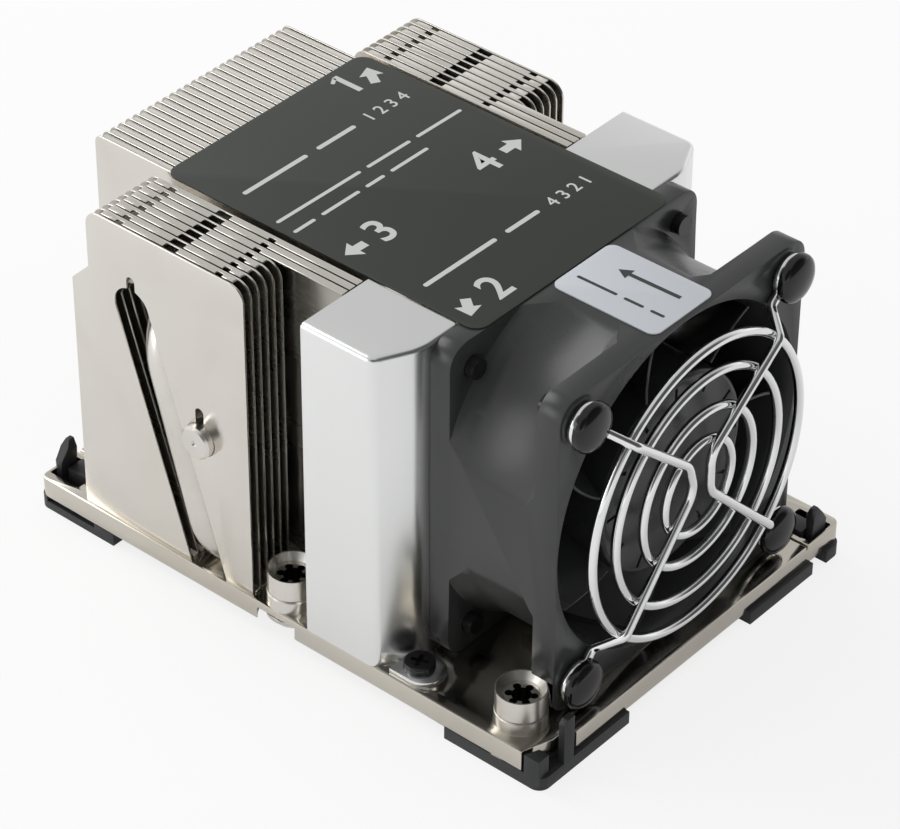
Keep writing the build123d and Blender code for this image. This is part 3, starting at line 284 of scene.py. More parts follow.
rays = tree.nodes.new("ShaderNodeLightPath")
for_mirrors = blended(tree, rays.outputs["Is Glossy Ray"], plain, room)
sky = blended(tree, straight_rays(tree, rays), for_mirrors, white)
tree.links.new(sky.outputs[0], output.inputs["Surface"])
print("floor at", round(cad_low.z / MM, 2), "mm")

# %% [markdown]
# Two broad soft lamps give the plastic its sheen and the shadow its direction. The strong
# one stands behind the object, so the floor in front of the fan is in shadow. Both are
# large and near, so each is hardly brighter than white paper, and a mirror that catches
# one doesn't burn out.

# %% Lamps


def softbox(name, place, aim, size, power):
    """A square lamp that faces a point."""
    bpy.ops.object.select_all(action="DESELECT")
    bpy.ops.object.light_add(type="AREA", location=place)
    lamp = bpy.context.object
    lamp.name = name
    lamp.data.shape = "SQUARE"
    lamp.data.size = size
    lamp.data.energy = power
    away = Vector(place) - Vector(aim)
    lamp.rotation_euler = away.to_track_quat("Z", "Y").to_euler()


object_middle = (0, 0, 0.03)
softbox("key_lamp", (-0.10, 0.95, 0.80), object_middle, 0.8, 6.0)
softbox("side_lamp", (-1.00, 0.62, 0.40), object_middle, 0.6, 2.2)

# %% [markdown]
# Several finishes share the same small effects, so each effect is a node group with named
# inputs: a drawn grain that stretches noise along the rolling direction of sheet metal,
# soft marks left by handling, and the fine speckle of a moulded surface. Groups give out
# only values. The shader itself stays in each material.

# %% Shared effects
marks_begin = 0.45
marks_full = 0.75
marks_swirl = 0.6
tone_scale = 45.0


def effect_group(name, inputs, outputs):
    """An empty node group with the given sockets, and its two end nodes."""
    group = bpy.data.node_groups.new(name, "ShaderNodeTree")
    for label, kind, value in inputs:
        socket = group.interface.new_socket(name=label, in_out="INPUT", socket_type=kind)
        socket.default_value = value
    for label, kind in outputs:
        group.interface.new_socket(name=label, in_out="OUTPUT", socket_type=kind)
    return group, group.nodes.new("NodeGroupInput"), group.nodes.new("NodeGroupOutput")


def drawn_grain_group():
    """Noise stretched along one direction, from 0 to 1 round a middle of a half."""
    group, start, end = effect_group(
        "drawn_grain",
        [("Stretch", "NodeSocketVector", (1, 1, 1)), ("Detail", "NodeSocketFloat", 3.0)],
        [("Grain", "NodeSocketFloat")],
    )
    place = group.nodes.new("ShaderNodeTexCoord")
    stretch = group.nodes.new("ShaderNodeVectorMath")
    stretch.operation = "MULTIPLY"
    noise = group.nodes.new("ShaderNodeTexNoise")
    noise.inputs["Scale"].default_value = 1.0
    group.links.new(place.outputs["Object"], stretch.inputs[0])
    group.links.new(start.outputs["Stretch"], stretch.inputs[1])
    group.links.new(stretch.outputs[0], noise.inputs["Vector"])
    group.links.new(start.outputs["Detail"], noise.inputs["Detail"])
    group.links.new(noise.outputs["Fac"], end.inputs["Grain"])
    return group


def handling_marks_group():
    """Soft irregular patches, 0 where the surface is clean and up to 1 where it is dull."""
    group, start, end = effect_group(
        "handling_marks",
        [("Scale", "NodeSocketFloat", 60.0), ("Amount", "NodeSocketFloat", 0.5)],
        [("Mask", "NodeSocketFloat")],
    )
    place = group.nodes.new("ShaderNodeTexCoord")
    noise = group.nodes.new("ShaderNodeTexNoise")
    noise.inputs["Detail"].default_value = 4.0
    noise.inputs["Distortion"].default_value = marks_swirl
    range_of = group.nodes.new("ShaderNodeMapRange")
    range_of.inputs["From Min"].default_value = marks_begin
    range_of.inputs["From Max"].default_value = marks_full
    group.links.new(place.outputs["Object"], noise.inputs["Vector"])
    group.links.new(start.outputs["Scale"], noise.inputs["Scale"])
    group.links.new(noise.outputs["Fac"], range_of.inputs["Value"])
    group.links.new(start.outputs["Amount"], range_of.inputs["To Max"])
    group.links.new(range_of.outputs[0], end.inputs["Mask"])
    return group


def moulded_speckle_group():
    """The fine even texture of a spark-eroded mould, as a height and a tone."""
    group, start, end = effect_group(
        "moulded_speckle",
        [("Scale", "NodeSocketFloat", 3000.0), ("Strength", "NodeSocketFloat", 0.5)],
        [("Height", "NodeSocketFloat"), ("Tone", "NodeSocketFloat")],
    )
    place = group.nodes.new("ShaderNodeTexCoord")
    noise = group.nodes.new("ShaderNodeTexNoise")
    noise.inputs["Detail"].default_value = 2.0
    height = group.nodes.new("ShaderNodeMath")
    height.operation = "MULTIPLY"
    broad = group.nodes.new("ShaderNodeTexNoise")
    broad.inputs["Scale"].default_value = tone_scale
    broad.inputs["Detail"].default_value = 3.0
    group.links.new(place.outputs["Object"], noise.inputs["Vector"])
    group.links.new(place.outputs["Object"], broad.inputs["Vector"])
    group.links.new(start.outputs["Scale"], noise.inputs["Scale"])
    group.links.new(noise.outputs["Fac"], height.inputs[0])
    group.links.new(start.outputs["Strength"], height.inputs[1])
    group.links.new(height.outputs[0], end.inputs["Height"])
    group.links.new(broad.outputs["Fac"], end.inputs["Tone"])
    return group


drawn_grain = drawn_grain_group()
handling_marks = handling_marks_group()
moulded_speckle = moulded_speckle_group()
print("effects:", [g.name for g in bpy.data.node_groups])

# %% [markdown]
# Nickel is a warm grey metal. The fins, the plate, the pipes and the nuts are all plated,
# but each is a different base: rolled sheet, a milled plate, a drawn tube, a turned screw.
# One function builds them all from two tints, the roughness where it is smooth and where it
# is dull, and the grain's fineness along each axis, and lets handling marks dull the mirror
# here and there.

# %% Metal finishes
grain_detail = 4.0
grain_height = 0.0001


def group_node(tree, group, **values):
    """Places an effect in a material with its own values."""
    node = tree.nodes.new("ShaderNodeGroup")
    node.node_tree = group
    for label, value in values.items():
        node.inputs[label].default_value = value
    return node


def tinted(tree, share, first, second):
    """A colour that runs from the first to the second with a share from 0 to 1."""
    node = tree.nodes.new("ShaderNodeMix")
    node.data_type = "RGBA"
    node.inputs["A"].default_value = (*first, 1)
    node.inputs["B"].default_value = (*second, 1)
    tree.links.new(share, node.inputs["Factor"])
    return node.outputs["Result"]


def bumped(tree, height, strength, distance):
    """A normal from a height."""
    node = tree.nodes.new("ShaderNodeBump")
    node.inputs["Strength"].default_value = strength
    node.inputs["Distance"].default_value = distance
    tree.links.new(height, node.inputs["Height"])
    return node.outputs["Normal"]


def new_material(name):
    """A new material with its node tree and its shader."""
    material = bpy.data.materials.new(name)
    material.use_nodes = True
    return material, material.node_tree, material.node_tree.nodes["Principled BSDF"]


def metal(name, light, dark, smooth, dull, stretch, bump=0.03, marks=40.0):
    """A metal with drawn grain, a slight change of tint and soft handling marks."""
    material, tree, shader = new_material(name)
    shader.inputs["Metallic"].default_value = 1.0
    grain = group_node(tree, drawn_grain, Stretch=stretch, Detail=grain_detail)
    mark = group_node(tree, handling_marks, Scale=marks, Amount=1.0)
    wear = calculated(tree, "ADD", grain.outputs["Grain"], mark.outputs["Mask"])
    tree.links.new(brought(tree, wear, 0, 2, smooth, dull), shader.inputs["Roughness"])
    tree.links.new(tinted(tree, mark.outputs["Mask"], light, dark), shader.inputs["Base Color"])
    normal = bumped(tree, grain.outputs["Grain"], bump, grain_height)
    tree.links.new(normal, shader.inputs["Normal"])
    return material


fin_nickel = metal(
    "fin_nickel", (0.74, 0.71, 0.66), (0.69, 0.66, 0.60), 0.14, 0.34, (900, 60, 900),
)
# fin_painted_shade is painted shade: a darker, duller nickel for the sheet faces inside the fin
# gaps, where the metal is the same and only shade falls.
fin_painted_shade = metal(
    "fin_painted_shade", (0.46, 0.44, 0.40), (0.40, 0.38, 0.34), 0.20, 0.40, (900, 60, 900),
)
plate_nickel = metal(
    "plate_nickel", (0.68, 0.64, 0.57), (0.60, 0.56, 0.49), 0.08, 0.26, (300, 300, 1500),
)
pipe_nickel = metal(
    "pipe_nickel", (0.74, 0.71, 0.67), (0.62, 0.59, 0.54), 0.20, 0.42, (500, 500, 60), 0.06,
)
bracket_metal = metal(
    "bracket_metal", (0.86, 0.87, 0.86), (0.84, 0.85, 0.84), 0.20, 0.28, (1500, 1500, 40), 0.01,
)
nut_nickel = metal(
    "nut_nickel", (0.78, 0.75, 0.70), (0.70, 0.67, 0.61), 0.26, 0.42, (250, 250, 4000),
)
# socket_painted_shade is painted shade: a dark metal for the walls of the nuts' star sockets,
# standing for the shade deep in the recess.
socket_painted_shade = metal(
    "socket_painted_shade", (0.10, 0.095, 0.09), (0.06, 0.057, 0.053), 0.30, 0.50, (900, 900, 900),
)
guard_chrome = metal(
    "guard_chrome", (0.90, 0.90, 0.91), (0.84, 0.84, 0.85), 0.02, 0.08, (500, 500, 500), 0.01,
)
plain_steel = metal(
    "plain_steel", (0.60, 0.59, 0.57), (0.50, 0.49, 0.47), 0.22, 0.42, (900, 900, 900),
)
core_steel = metal(
    "core_steel", (0.34, 0.35, 0.37), (0.24, 0.24, 0.26), 0.35, 0.55, (100, 6000, 100), 0.2,
)
winding_copper = metal(
    "winding_copper", (0.60, 0.27, 0.12), (0.45, 0.18, 0.08), 0.22, 0.36, (200, 5000, 200), 0.3,
)
print("metals ready")

# %% [markdown]
# The fan's frame and rotor, the clip and the rivets are black mouldings. Real black
# plastic is never black in a photograph: it is a dark grey with a broad sheen. The mould's
# fine texture breaks that sheen up, and the slow change of tone is what a large moulded
# wall shows where it cooled unevenly. The labels and the circuit board use the same recipe
# with a finer texture and their own tints.

# %% Plastic, paper and board finishes
speckle_height = 0.00005


def moulding(name, light, dark, smooth, dull, scale, bump):
    """A moulded plastic with a speckled surface and a slow change of tone."""
    material, tree, shader = new_material(name)
    speckle = group_node(tree, moulded_speckle, Scale=scale, Strength=1.0)
    tone = speckle.outputs["Tone"]
    tree.links.new(brought(tree, tone, 0, 1, smooth, dull), shader.inputs["Roughness"])
    tree.links.new(tinted(tree, tone, dark, light), shader.inputs["Base Color"])
    normal = bumped(tree, speckle.outputs["Height"], bump, speckle_height)
    tree.links.new(normal, shader.inputs["Normal"])
    return material


frame_plastic = moulding(
    "frame_plastic", (0.042, 0.045, 0.043), (0.026, 0.028, 0.027), 0.22, 0.36, 4000.0, 0.25,
)
rotor_plastic = moulding(
    "rotor_plastic", (0.026, 0.027, 0.027), (0.016, 0.017, 0.017), 0.20, 0.34, 4000.0, 0.15,
)
clip_plastic = moulding(
    "clip_plastic", (0.026, 0.027, 0.028), (0.016, 0.017, 0.018), 0.34, 0.50, 3500.0, 0.35,
)
rivet_plastic = moulding(
    "rivet_plastic", (0.007, 0.007, 0.008), (0.004, 0.004, 0.005), 0.05, 0.12, 2500.0, 0.03,
)
screw_black = moulding(
    "screw_black", (0.016, 0.016, 0.017), (0.009, 0.009, 0.010), 0.16, 0.30, 5000.0, 0.10,
)
label_dark = moulding(
    "label_dark", (0.029, 0.033, 0.028), (0.024, 0.028, 0.023), 0.48, 0.58, 6000.0, 0.10,
)
label_white = moulding(
    "label_white", (0.64, 0.66, 0.70), (0.58, 0.61, 0.65), 0.40, 0.52, 3000.0, 0.05,
)
print_pale = moulding(
    "print_pale", (0.66, 0.67, 0.66), (0.60, 0.61, 0.60), 0.45, 0.60, 3000.0, 0.05,
)
print_dark = moulding(
    "print_dark", (0.030, 0.032, 0.033), (0.024, 0.026, 0.027), 0.40, 0.55, 3000.0, 0.05,
)
board_green = moulding(
    "board_green", (0.030, 0.110, 0.050), (0.020, 0.080, 0.036), 0.30, 0.45, 900.0, 0.10,
)
magnet_dark = moulding(
    "magnet_dark", (0.060, 0.058, 0.056), (0.040, 0.039, 0.038), 0.55, 0.70, 2000.0, 0.30,
)
print("materials:", len(bpy.data.materials))

# %% [markdown]
# Most solids already have their true form. What they lack is the small rounding that every
# real edge has and that catches the light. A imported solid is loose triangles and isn't
# touched; a copy of it is merged, its flat triangles are joined into whole faces, and a
# narrow bevel runs round its sharp edges. The copy then stands for the solid.

# %% Dressed copies of the solids
merge_distance = 0.002
joined_angle = 0.4
sharp_angle = 40
outer_skin = 0.05


def dressed_copy(node, body, slot, material, edge=0.0, clamp=False):
    """A copy of a solid with joined faces, softened edges and smooth round walls."""
    name = node + "_dressed"
    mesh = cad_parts[node].data.copy()
    mesh.name = name
    piece = bpy.data.objects.new(name, mesh)
    bpy.context.scene.collection.objects.link(piece)
    edit_whole(piece)
    bpy.ops.mesh.remove_doubles(threshold=merge_distance * MM)
    bpy.ops.mesh.dissolve_limited(angle_limit=radians(joined_angle))
    leave_edit()
    if mesh.has_custom_normals:
        bpy.ops.mesh.customdata_custom_splitnormals_clear()
    if edge:
        shape_with(piece, "BEVEL", width=edge * MM, segments=2, limit_method="ANGLE",
                   angle_limit=radians(sharp_angle), use_clamp_overlap=clamp, loop_slide=False)
    settle(piece)
    hand_over(piece, body, slot, material, node)
    return piece


for node, slot, material, edge in (
    ("base_plate", "plate_metal", plate_nickel, 0.22),
    ("centre_fins", "fin_metal", fin_nickel, 0.13),
    ("left_side_fins", "fin_metal", fin_nickel, 0.13),
    ("right_side_fins", "fin_metal", fin_nickel, 0.13),
    ("fan_frame", "fan_plastic", frame_plastic, 0.12),
    ("carrier_clip", "clip_plastic", clip_plastic, 0.12),
    ("fan_mount_screws", "black_screw", screw_black, 0.0),
):
    dressed_copy(node, "heatsink", slot, material, edge, clamp=node == "carrier_clip")
dressed_copy("fan_rotor", "rotor", "rotor_plastic", rotor_plastic)


def between_sheets(node):
    """True for a face that looks across the gap between two sheets of a fin stack."""
    low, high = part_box(node)

    def wanted(mesh, face):
        from_end = min(abs(face.center.x - low[0]), abs(face.center.x - high[0]))
        return abs(face.normal.x) > FACING and from_end > outer_skin * MM

    return wanted


# The sheet faces inside the gaps get the darker fin nickel, painted shade for the shade between
# the sheets; the outermost faces keep the plain nickel.
for node in ("centre_fins", "left_side_fins", "right_side_fins"):
    second_finish(bpy.data.objects[node + "_dressed"], fin_painted_shade, between_sheets(node))

# %% [markdown]
# The motor's inner pieces hardly show between the blades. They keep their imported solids
# and only get their own finish.

# %% Finishes of the inner pieces
inner_finish = {
    "rotor_yoke": plain_steel, "rotor_magnet": magnet_dark, "rotor_shaft": plain_steel,
    "shaft_clip": plain_steel, "preload_washer": plain_steel, "front_bearing": plain_steel,
    "rear_bearing": plain_steel, "stator_core": core_steel, "stator_windings": winding_copper,
    "fan_circuit_board": board_green,
}
for number in (1, 2, 3, 4):
    inner_finish[f"nut_ring_{number}"] = plain_steel
for node, material in inner_finish.items():
    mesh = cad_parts[node].data
    mesh.materials.clear()
    mesh.materials.append(material)
print("inner pieces finished:", len(inner_finish))

# %% [markdown]
# A duct bracket is one bent sheet: a top, a side, a slanted front that curves gently into
# a flat flange behind the fan, and a round-ended foot under a screw. A block is added at
# the bracket's outer size and its slant is cut off with a bisect. Then its upright bends
# are rounded, each with its own radius, and its upper rim too. The faces that the sheet
# doesn't have are deleted, and solidify gives it its thickness, inwards, so that the
# outside stays where it is. The left bracket is the right one mirrored.

# %% Duct brackets
plate_top = 4.0
stack_top = 64.0
sheet = 1.0
bracket_inner = 23.6
bracket_outer = 39.0
bracket_front = -24.2
bracket_back = -6.3
slant_start = 31.6
slant_depth = 3.7
gentle_bend = 1.9
tight_bend = 1.2
rim_bend = 0.9
foot_middle = 34.8
foot_half_width = 3.5
foot_front = -30.9
foot_back = -23.0
foot_edge = 0.12
same_place = 0.02


def block_of(name, low, high):
    """A block between two corners, selected whole, in edit mode."""
    bpy.ops.object.select_all(action="DESELECT")
    middle = [(a + b) / 2 * MM for a, b in zip(low, high)]
    bpy.ops.mesh.primitive_cube_add(size=MM, location=middle)
    piece = bpy.context.object
    piece.name = name
    piece.scale = [b - a for a, b in zip(low, high)]
    bpy.ops.object.transform_apply(location=True, rotation=True, scale=True)
    edit_whole(piece)
    return piece


def edit_edges(piece, wanted):
    """Enters edge mode with only the edges selected whose two ends are both wanted."""
    select_only(piece)
    bpy.ops.object.mode_set(mode="EDIT")
    bpy.ops.mesh.select_mode(type="EDGE")
    bpy.ops.mesh.select_all(action="DESELECT")
    bpy.ops.object.mode_set(mode="OBJECT")
    corners = piece.data.vertices
    for edge in piece.data.edges:
        first, last = (corners[index].co / MM for index in edge.vertices)
        edge.select = wanted(first, last)
    bpy.ops.object.mode_set(mode="EDIT")


def bend_edges(piece, wanted, radius, segments):
    """Rounds the wanted edges."""
    edit_edges(piece, wanted)
    bpy.ops.mesh.bevel(
        offset=radius * MM, segments=segments, affect="EDGES", clamp_overlap=False,
    )
    leave_edit()


def near(a, b):
    """True for two coordinates that are the same but for rounding."""
    return abs(a - b) < same_place


def upright_at(x, y):
    """A test for the two ends of the upright edge at a place."""
    return lambda a, b: near(a.x, x) and near(b.x, x) and near(a.y, y) and near(b.y, y)


def on_rim(a, b):
    """True for the ends of an upper edge that the bent sheet folds over."""
    on_top = near(a.z, stack_top) and near(b.z, stack_top)
    at_back = near(a.y, bracket_back) and near(b.y, bracket_back)
    at_inner = near(a.x, bracket_inner) and near(b.x, bracket_inner)
    return on_top and not at_back and not at_inner


def bracket_shell():
    """The right bracket's bent sheet."""
    shell = block_of("bracket_shell", (bracket_inner, bracket_front, plate_top),
                     (bracket_outer, bracket_back, stack_top))
    outwards = Vector((slant_depth, slant_start - bracket_outer, 0)).normalized()
    bpy.ops.mesh.bisect(
        plane_co=(slant_start * MM, bracket_front * MM, 0), plane_no=outwards,
        use_fill=True, clear_outer=True,
    )
    leave_edit()
    side_front = bracket_front + slant_depth
    bend_edges(shell, upright_at(slant_start, bracket_front), gentle_bend, 10)
    bend_edges(shell, upright_at(bracket_outer, side_front), tight_bend, 6)
    bend_edges(shell, on_rim, rim_bend, 4)
    edit_faces(shell, lambda c, n: n.z < -FACING or n.y > FACING or n.x < -FACING)
    bpy.ops.mesh.delete(type="FACE")
    leave_edit()
    shape_with(shell, "SOLIDIFY", thickness=sheet * MM, offset=-1.0, use_even_offset=True)
    return shell


def bracket_foot():
    """The right bracket's foot, with a round front end."""
    foot = block_of("bracket_foot", (foot_middle - foot_half_width, foot_front, plate_top),
                    (foot_middle + foot_half_width, foot_back, plate_top + sheet))
    leave_edit()
    bend_edges(foot, lambda a, b: near(a.x, b.x) and near(a.y, b.y) and near(a.y, foot_front),
               foot_half_width - same_place, 12)
    shape_with(foot, "BEVEL", width=foot_edge * MM, segments=2, limit_method="ANGLE",
               angle_limit=radians(60))
    return foot


def mirrored_copy(piece, name):
    """The same piece mirrored to the other side of the middle plane."""
    other = copy_of(piece)
    other.name = name
    other.scale = (-1, 1, 1)
    select_only(other)
    bpy.ops.object.transform_apply(location=True, rotation=True, scale=True)
    edit_whole(other)
    bpy.ops.mesh.normals_make_consistent(inside=False)
    leave_edit()
    return other


def join_pieces(name, pieces):
    """Makes several objects one."""
    bpy.ops.object.select_all(action="DESELECT")
    for piece in pieces:
        piece.select_set(True)
    bpy.context.view_layer.objects.active = pieces[0]
    bpy.ops.object.join()
    bpy.context.object.name = name
    return bpy.context.object


right_bracket = join_pieces("right_bracket", [bracket_shell(), bracket_foot()])
left_bracket = mirrored_copy(right_bracket, "left_bracket")
for bracket, node in (
    (right_bracket, "right_duct_bracket"), (left_bracket, "left_duct_bracket"),
):
    settle(bracket, 35)
    hand_over(bracket, "heatsink", "bracket_metal", bracket_metal, node)
    print(bracket.name, "faces:", len(bracket.data.polygons))

# %% [markdown]
# The screw that holds a foot has a low pan head with a cross recess. The head is a
# cylinder with a rounded rim; the recess is two crossed bars that are taken out of it.

# %% Bracket screws
screw_seat = plate_top + sheet
screw_setback = 4.6
screw_head_radius = 2.6
screw_head_height = 1.25
screw_rim = 0.4
screw_shank_radius = 1.4
screw_end = 2.4
recess_length = 2.9
recess_width = 0.75
recess_depth = 0.8
recess_turn = 22.0


def bracket_screw():
    """One screw over the origin, its head seated on the foot."""
    bpy.ops.object.select_all(action="DESELECT")
    bpy.ops.mesh.primitive_cylinder_add(
        vertices=48, radius=screw_head_radius * MM, depth=screw_head_height * MM,
        location=(0, 0, (screw_seat + screw_head_height / 2) * MM),
    )
    screw = bpy.context.object
    bpy.ops.object.transform_apply(location=True, rotation=True, scale=True)
    edit_faces(screw, lambda c, n: n.z < -FACING)
    bpy.ops.mesh.inset(thickness=(screw_head_radius - screw_shank_radius) * MM)
    bpy.ops.mesh.extrude_region_move(
        TRANSFORM_OT_translate={"value": (0, 0, (screw_end - screw_seat) * MM)}
    )
    leave_edit()
    top = screw_seat + screw_head_height
    bend_edges(screw, lambda a, b: near(a.z, top) and near(b.z, top), screw_rim, 4)
    half = recess_length / 2
    wide = recess_width / 2
    bars = []
    for reach_x, reach_y in ((half, wide), (wide, half)):
        low_corner = (-reach_x, -reach_y, top - recess_depth)
        bars.append(block_of("recess_bar", low_corner, (reach_x, reach_y, top + 1)))
        leave_edit()
    for bar in bars:
        shape_with(screw, "BOOLEAN", object=bar, operation="DIFFERENCE", solver="EXACT")
        bpy.data.objects.remove(bar)
    return screw


first_screw = bracket_screw()
screws = []
for side in (-1, 1):
    screw = copy_of(first_screw)
    screw.location = (side * foot_middle * MM, (foot_front + screw_setback) * MM, 0)
    screw.rotation_euler = (0, 0, radians(recess_turn))
    screws.append(screw)
bpy.data.objects.remove(first_screw)
foot_screws = join_pieces("foot_screws", screws)
settle(foot_screws, 40)
hand_over(foot_screws, "heatsink", "black_screw", screw_black, "bracket_screws")
print("foot screw faces:", len(foot_screws.data.polygons))

# %% [markdown]
# The guard is chromed steel wire: four rings, two bent support wires that run from rivet
# to rivet, and an eyelet round each rivet, all spot welded. A ring is a torus. A support
# wire is drawn as a curve with a round section, the way wire really is bent, and each of
# its corners is an arc. The curve is then turned into a mesh.

# %% Wire guard
wire_radius = 0.8 * MM
ring_radii = (25.9, 20.3, 13.7, 8.3)
ring_plane = -52.9
fan_front = -49.2
fan_axis_z = 34.0
rivet_offset = 25.0
eyelet_radius = 3.0
weld_depth = 0.2
step_start = 5.6
step_end = 9.6
step_bend = 1.6
knee_bend = 4.4
wire_knees = {-1: ((-4.6, 7.2), (-3.0, 1.6)), 1: ((0.9, 6.4), (1.1, -0.8))}
arc_steps = 10
wire_roundness = 5


def wire_ring(name, middle, radius, major, minor):
    """A closed ring of wire about the Y direction."""
    bpy.ops.object.select_all(action="DESELECT")
    bpy.ops.mesh.primitive_torus_add(
        location=[v * MM for v in middle], rotation=(pi / 2, 0, 0),
        major_radius=radius * MM, minor_radius=wire_radius,
        major_segments=major, minor_segments=minor,
    )
    ring = bpy.context.object
    ring.name = name
    return ring


def rounded(points, bends):
    """A route of straight runs with its inner corners turned into arcs."""
    route = [Vector(points[0])]
    for before, corner, after, bend in zip(points, points[1:], points[2:], bends):
        corner = Vector(corner)
        back = (Vector(before) - corner).normalized()
        ahead = (Vector(after) - corner).normalized()
        half = back.angle(ahead) / 2
        middle = corner + (back + ahead).normalized() * bend / sin(half)
        first = corner + back * bend / tan(half) - middle
        last = corner + ahead * bend / tan(half) - middle
        for step in range(arc_steps + 1):
            towards = first.normalized().slerp(last.normalized(), step / arc_steps)
            route.append(middle + towards * first.length)
    route.append(Vector(points[-1]))
    return route


def tube_along(route, radius, roundness):
    """A round tube with flat ends that follows a route of points, as a mesh."""
    bpy.ops.object.select_all(action="DESELECT")
    bpy.ops.curve.primitive_nurbs_path_add()
    tube = bpy.context.object
    curve = tube.data
    curve.splines.clear()
    line = curve.splines.new("POLY")
    line.points.add(len(route) - 1)
    for point, place in zip(line.points, route):
        point.co = (*(place * MM), 1)
    curve.dimensions = "3D"
    curve.bevel_depth = radius
    curve.bevel_resolution = roundness
    curve.use_fill_caps = True
    select_only(tube)
    bpy.ops.object.convert(target="MESH")
    return bpy.context.object


def leg(rivet, knee):
    """From a rivet's eyelet forwards and on to a knee near the middle."""
    away = (Vector(knee) - Vector(rivet)).normalized()
    low = fan_front - wire_radius / MM
    high = ring_plane - 2 * wire_radius / MM + weld_depth

    def along(distance, y):
        return (rivet[0] + away.x * distance, y, rivet[1] + away.y * distance)

    return [along(eyelet_radius, low), along(step_start, low), along(step_end, high),
            (knee[0], high, knee[1])]


def support_wire(side):
    """One bent wire with rounded corners, as a mesh."""
    upper, lower = wire_knees[side]
    top_rivet = (side * rivet_offset, fan_axis_z + rivet_offset)
    low_rivet = (side * rivet_offset, fan_axis_z - rivet_offset)
    points = leg(top_rivet, (upper[0], fan_axis_z + upper[1]))
    points += leg(low_rivet, (lower[0], fan_axis_z + lower[1]))[::-1]
    route = rounded(points, (step_bend, step_bend, knee_bend, knee_bend, step_bend, step_bend))
    return tube_along(route, wire_radius, wire_roundness)


guard_parts = [support_wire(-1), support_wire(1)]
for radius in ring_radii:
    guard_parts.append(wire_ring("ring", (0, ring_plane, fan_axis_z), radius, 120, 14))
for x in (-rivet_offset, rivet_offset):
    for z in (fan_axis_z - rivet_offset, fan_axis_z + rivet_offset):
        place = (x, fan_front - wire_radius / MM, z)
        guard_parts.append(wire_ring("eyelet", place, eyelet_radius, 40, 12))
guard = join_pieces("wire_guard", guard_parts)
settle(guard, 60)
hand_over(guard, "heatsink", "guard_wire", guard_chrome, "fan_guard")
print("guard faces:", len(guard.data.polygons))

# %% [markdown]
# Each heat pipe is a drawn copper tube, bent twice and plated. It lies along the plate,
# rises through the slanted slot on one side and returns through all the fins to the other
# side, where its closed end stands out. It is the same kind of bent bar as the wire, so the
# same two helpers make it, from the four corners of its route. Its free end is then shaped
# in edit mode: a chamfer round the rim and the dimple where the tube was sealed.

# %% Heat pipes
pipe_radius = 3.0
pipe_roundness = 18
foot_bend = 8.0
top_bend = 12.0
end_chamfer = 0.4
dimple_radius = 0.55
dimple_depth = 0.3
pipe_corners = {
    "tall_heat_pipe": (
        (20.0, 15.4, 4.6), (-36.3, 15.4, 4.6), (-34.9, 29.8, 49.0), (39.95, 29.8, 49.0),
    ),
    "low_heat_pipe": (
        (-20.0, 22.6, 4.6), (36.3, 22.6, 4.6), (35.4, 16.4, 30.3), (-39.95, 16.4, 30.3),
    ),
}


def heat_pipe(node, corners):
    """A bent pipe with a chamfered and dimpled free end, in place of its solid."""
    side = 1 if corners[-1][0] > 0 else -1
    full_end = corners[-1]
    short_end = (full_end[0] - side * end_chamfer, full_end[1], full_end[2])
    route = rounded((*corners[:-1], short_end), (foot_bend, top_bend))
    pipe = tube_along(route, pipe_radius * MM, pipe_roundness)
    pipe.name = node + "_swept"
    edit_faces(pipe, lambda c, n: n.x * side > FACING and near(c.x / MM, short_end[0]))
    bpy.ops.mesh.inset(thickness=end_chamfer * MM)
    bpy.ops.transform.translate(value=(side * end_chamfer * MM, 0, 0))
    bpy.ops.mesh.inset(thickness=(pipe_radius - end_chamfer - dimple_radius) * MM)
    bpy.ops.mesh.inset(thickness=dimple_radius * 0.5 * MM)
    bpy.ops.transform.translate(value=(-side * dimple_depth * MM, 0, 0))
    leave_edit()
    settle(pipe, 40)
    hand_over(pipe, "heatsink", "pipe_metal", pipe_nickel, node)
    return pipe


for node, corners in pipe_corners.items():
    pipe = heat_pipe(node, corners)
    print(pipe.name, "faces:", len(pipe.data.polygons))

# %% [markdown]
# A push rivet has a low domed head and a round shank that goes through the flange. The head
# starts as a flat cylinder: its front face is inset and pulled forward in steps that follow
# a quarter circle, and the shank is extruded from its back. One rivet is modelled and
# copied to the four corners.

# %% Push rivets
head_radius = 4.2
head_height = 2.3
rim_height = 0.7
head_seat = fan_front - 1.6
shank_radius = 1.9
shank_back = -42.4
dome_steps = 5
last_step = 0.96
shank_ring = 0.5


def push_rivet():
    """One rivet over the origin, pointing along Y."""
    bpy.ops.object.select_all(action="DESELECT")
    middle_y = head_seat - rim_height / 2
    bpy.ops.mesh.primitive_cylinder_add(
        vertices=48, radius=head_radius * MM, depth=rim_height * MM,
        location=(0, middle_y * MM, 0), rotation=(pi / 2, 0, 0),
    )
    rivet = bpy.context.object
    bpy.ops.object.transform_apply(location=True, rotation=True, scale=True)
    edit_faces(rivet, lambda c, n: n.y < -FACING)
    dome = head_height - rim_height
    for step in range(dome_steps):
        first = radians(90 * step / dome_steps)
        second = radians(90 * (step + 1) / dome_steps)
        inset = head_radius * (cos(first) - cos(second))
        if step == dome_steps - 1:
            inset *= last_step
        rise = dome * (sin(second) - sin(first))
        bpy.ops.mesh.inset(thickness=inset * MM, depth=0)
        bpy.ops.transform.translate(value=(0, -rise * MM, 0))
    leave_edit()
    edit_faces(rivet, lambda c, n: n.y > FACING)
    bpy.ops.mesh.inset(thickness=(head_radius - shank_radius) * MM)
    bpy.ops.mesh.extrude_region_move(
        TRANSFORM_OT_translate={"value": (0, (shank_back - head_seat) * MM, 0)}
    )
    bpy.ops.mesh.inset(thickness=shank_ring * MM)
    leave_edit()
    settle(rivet, 40)
    return rivet


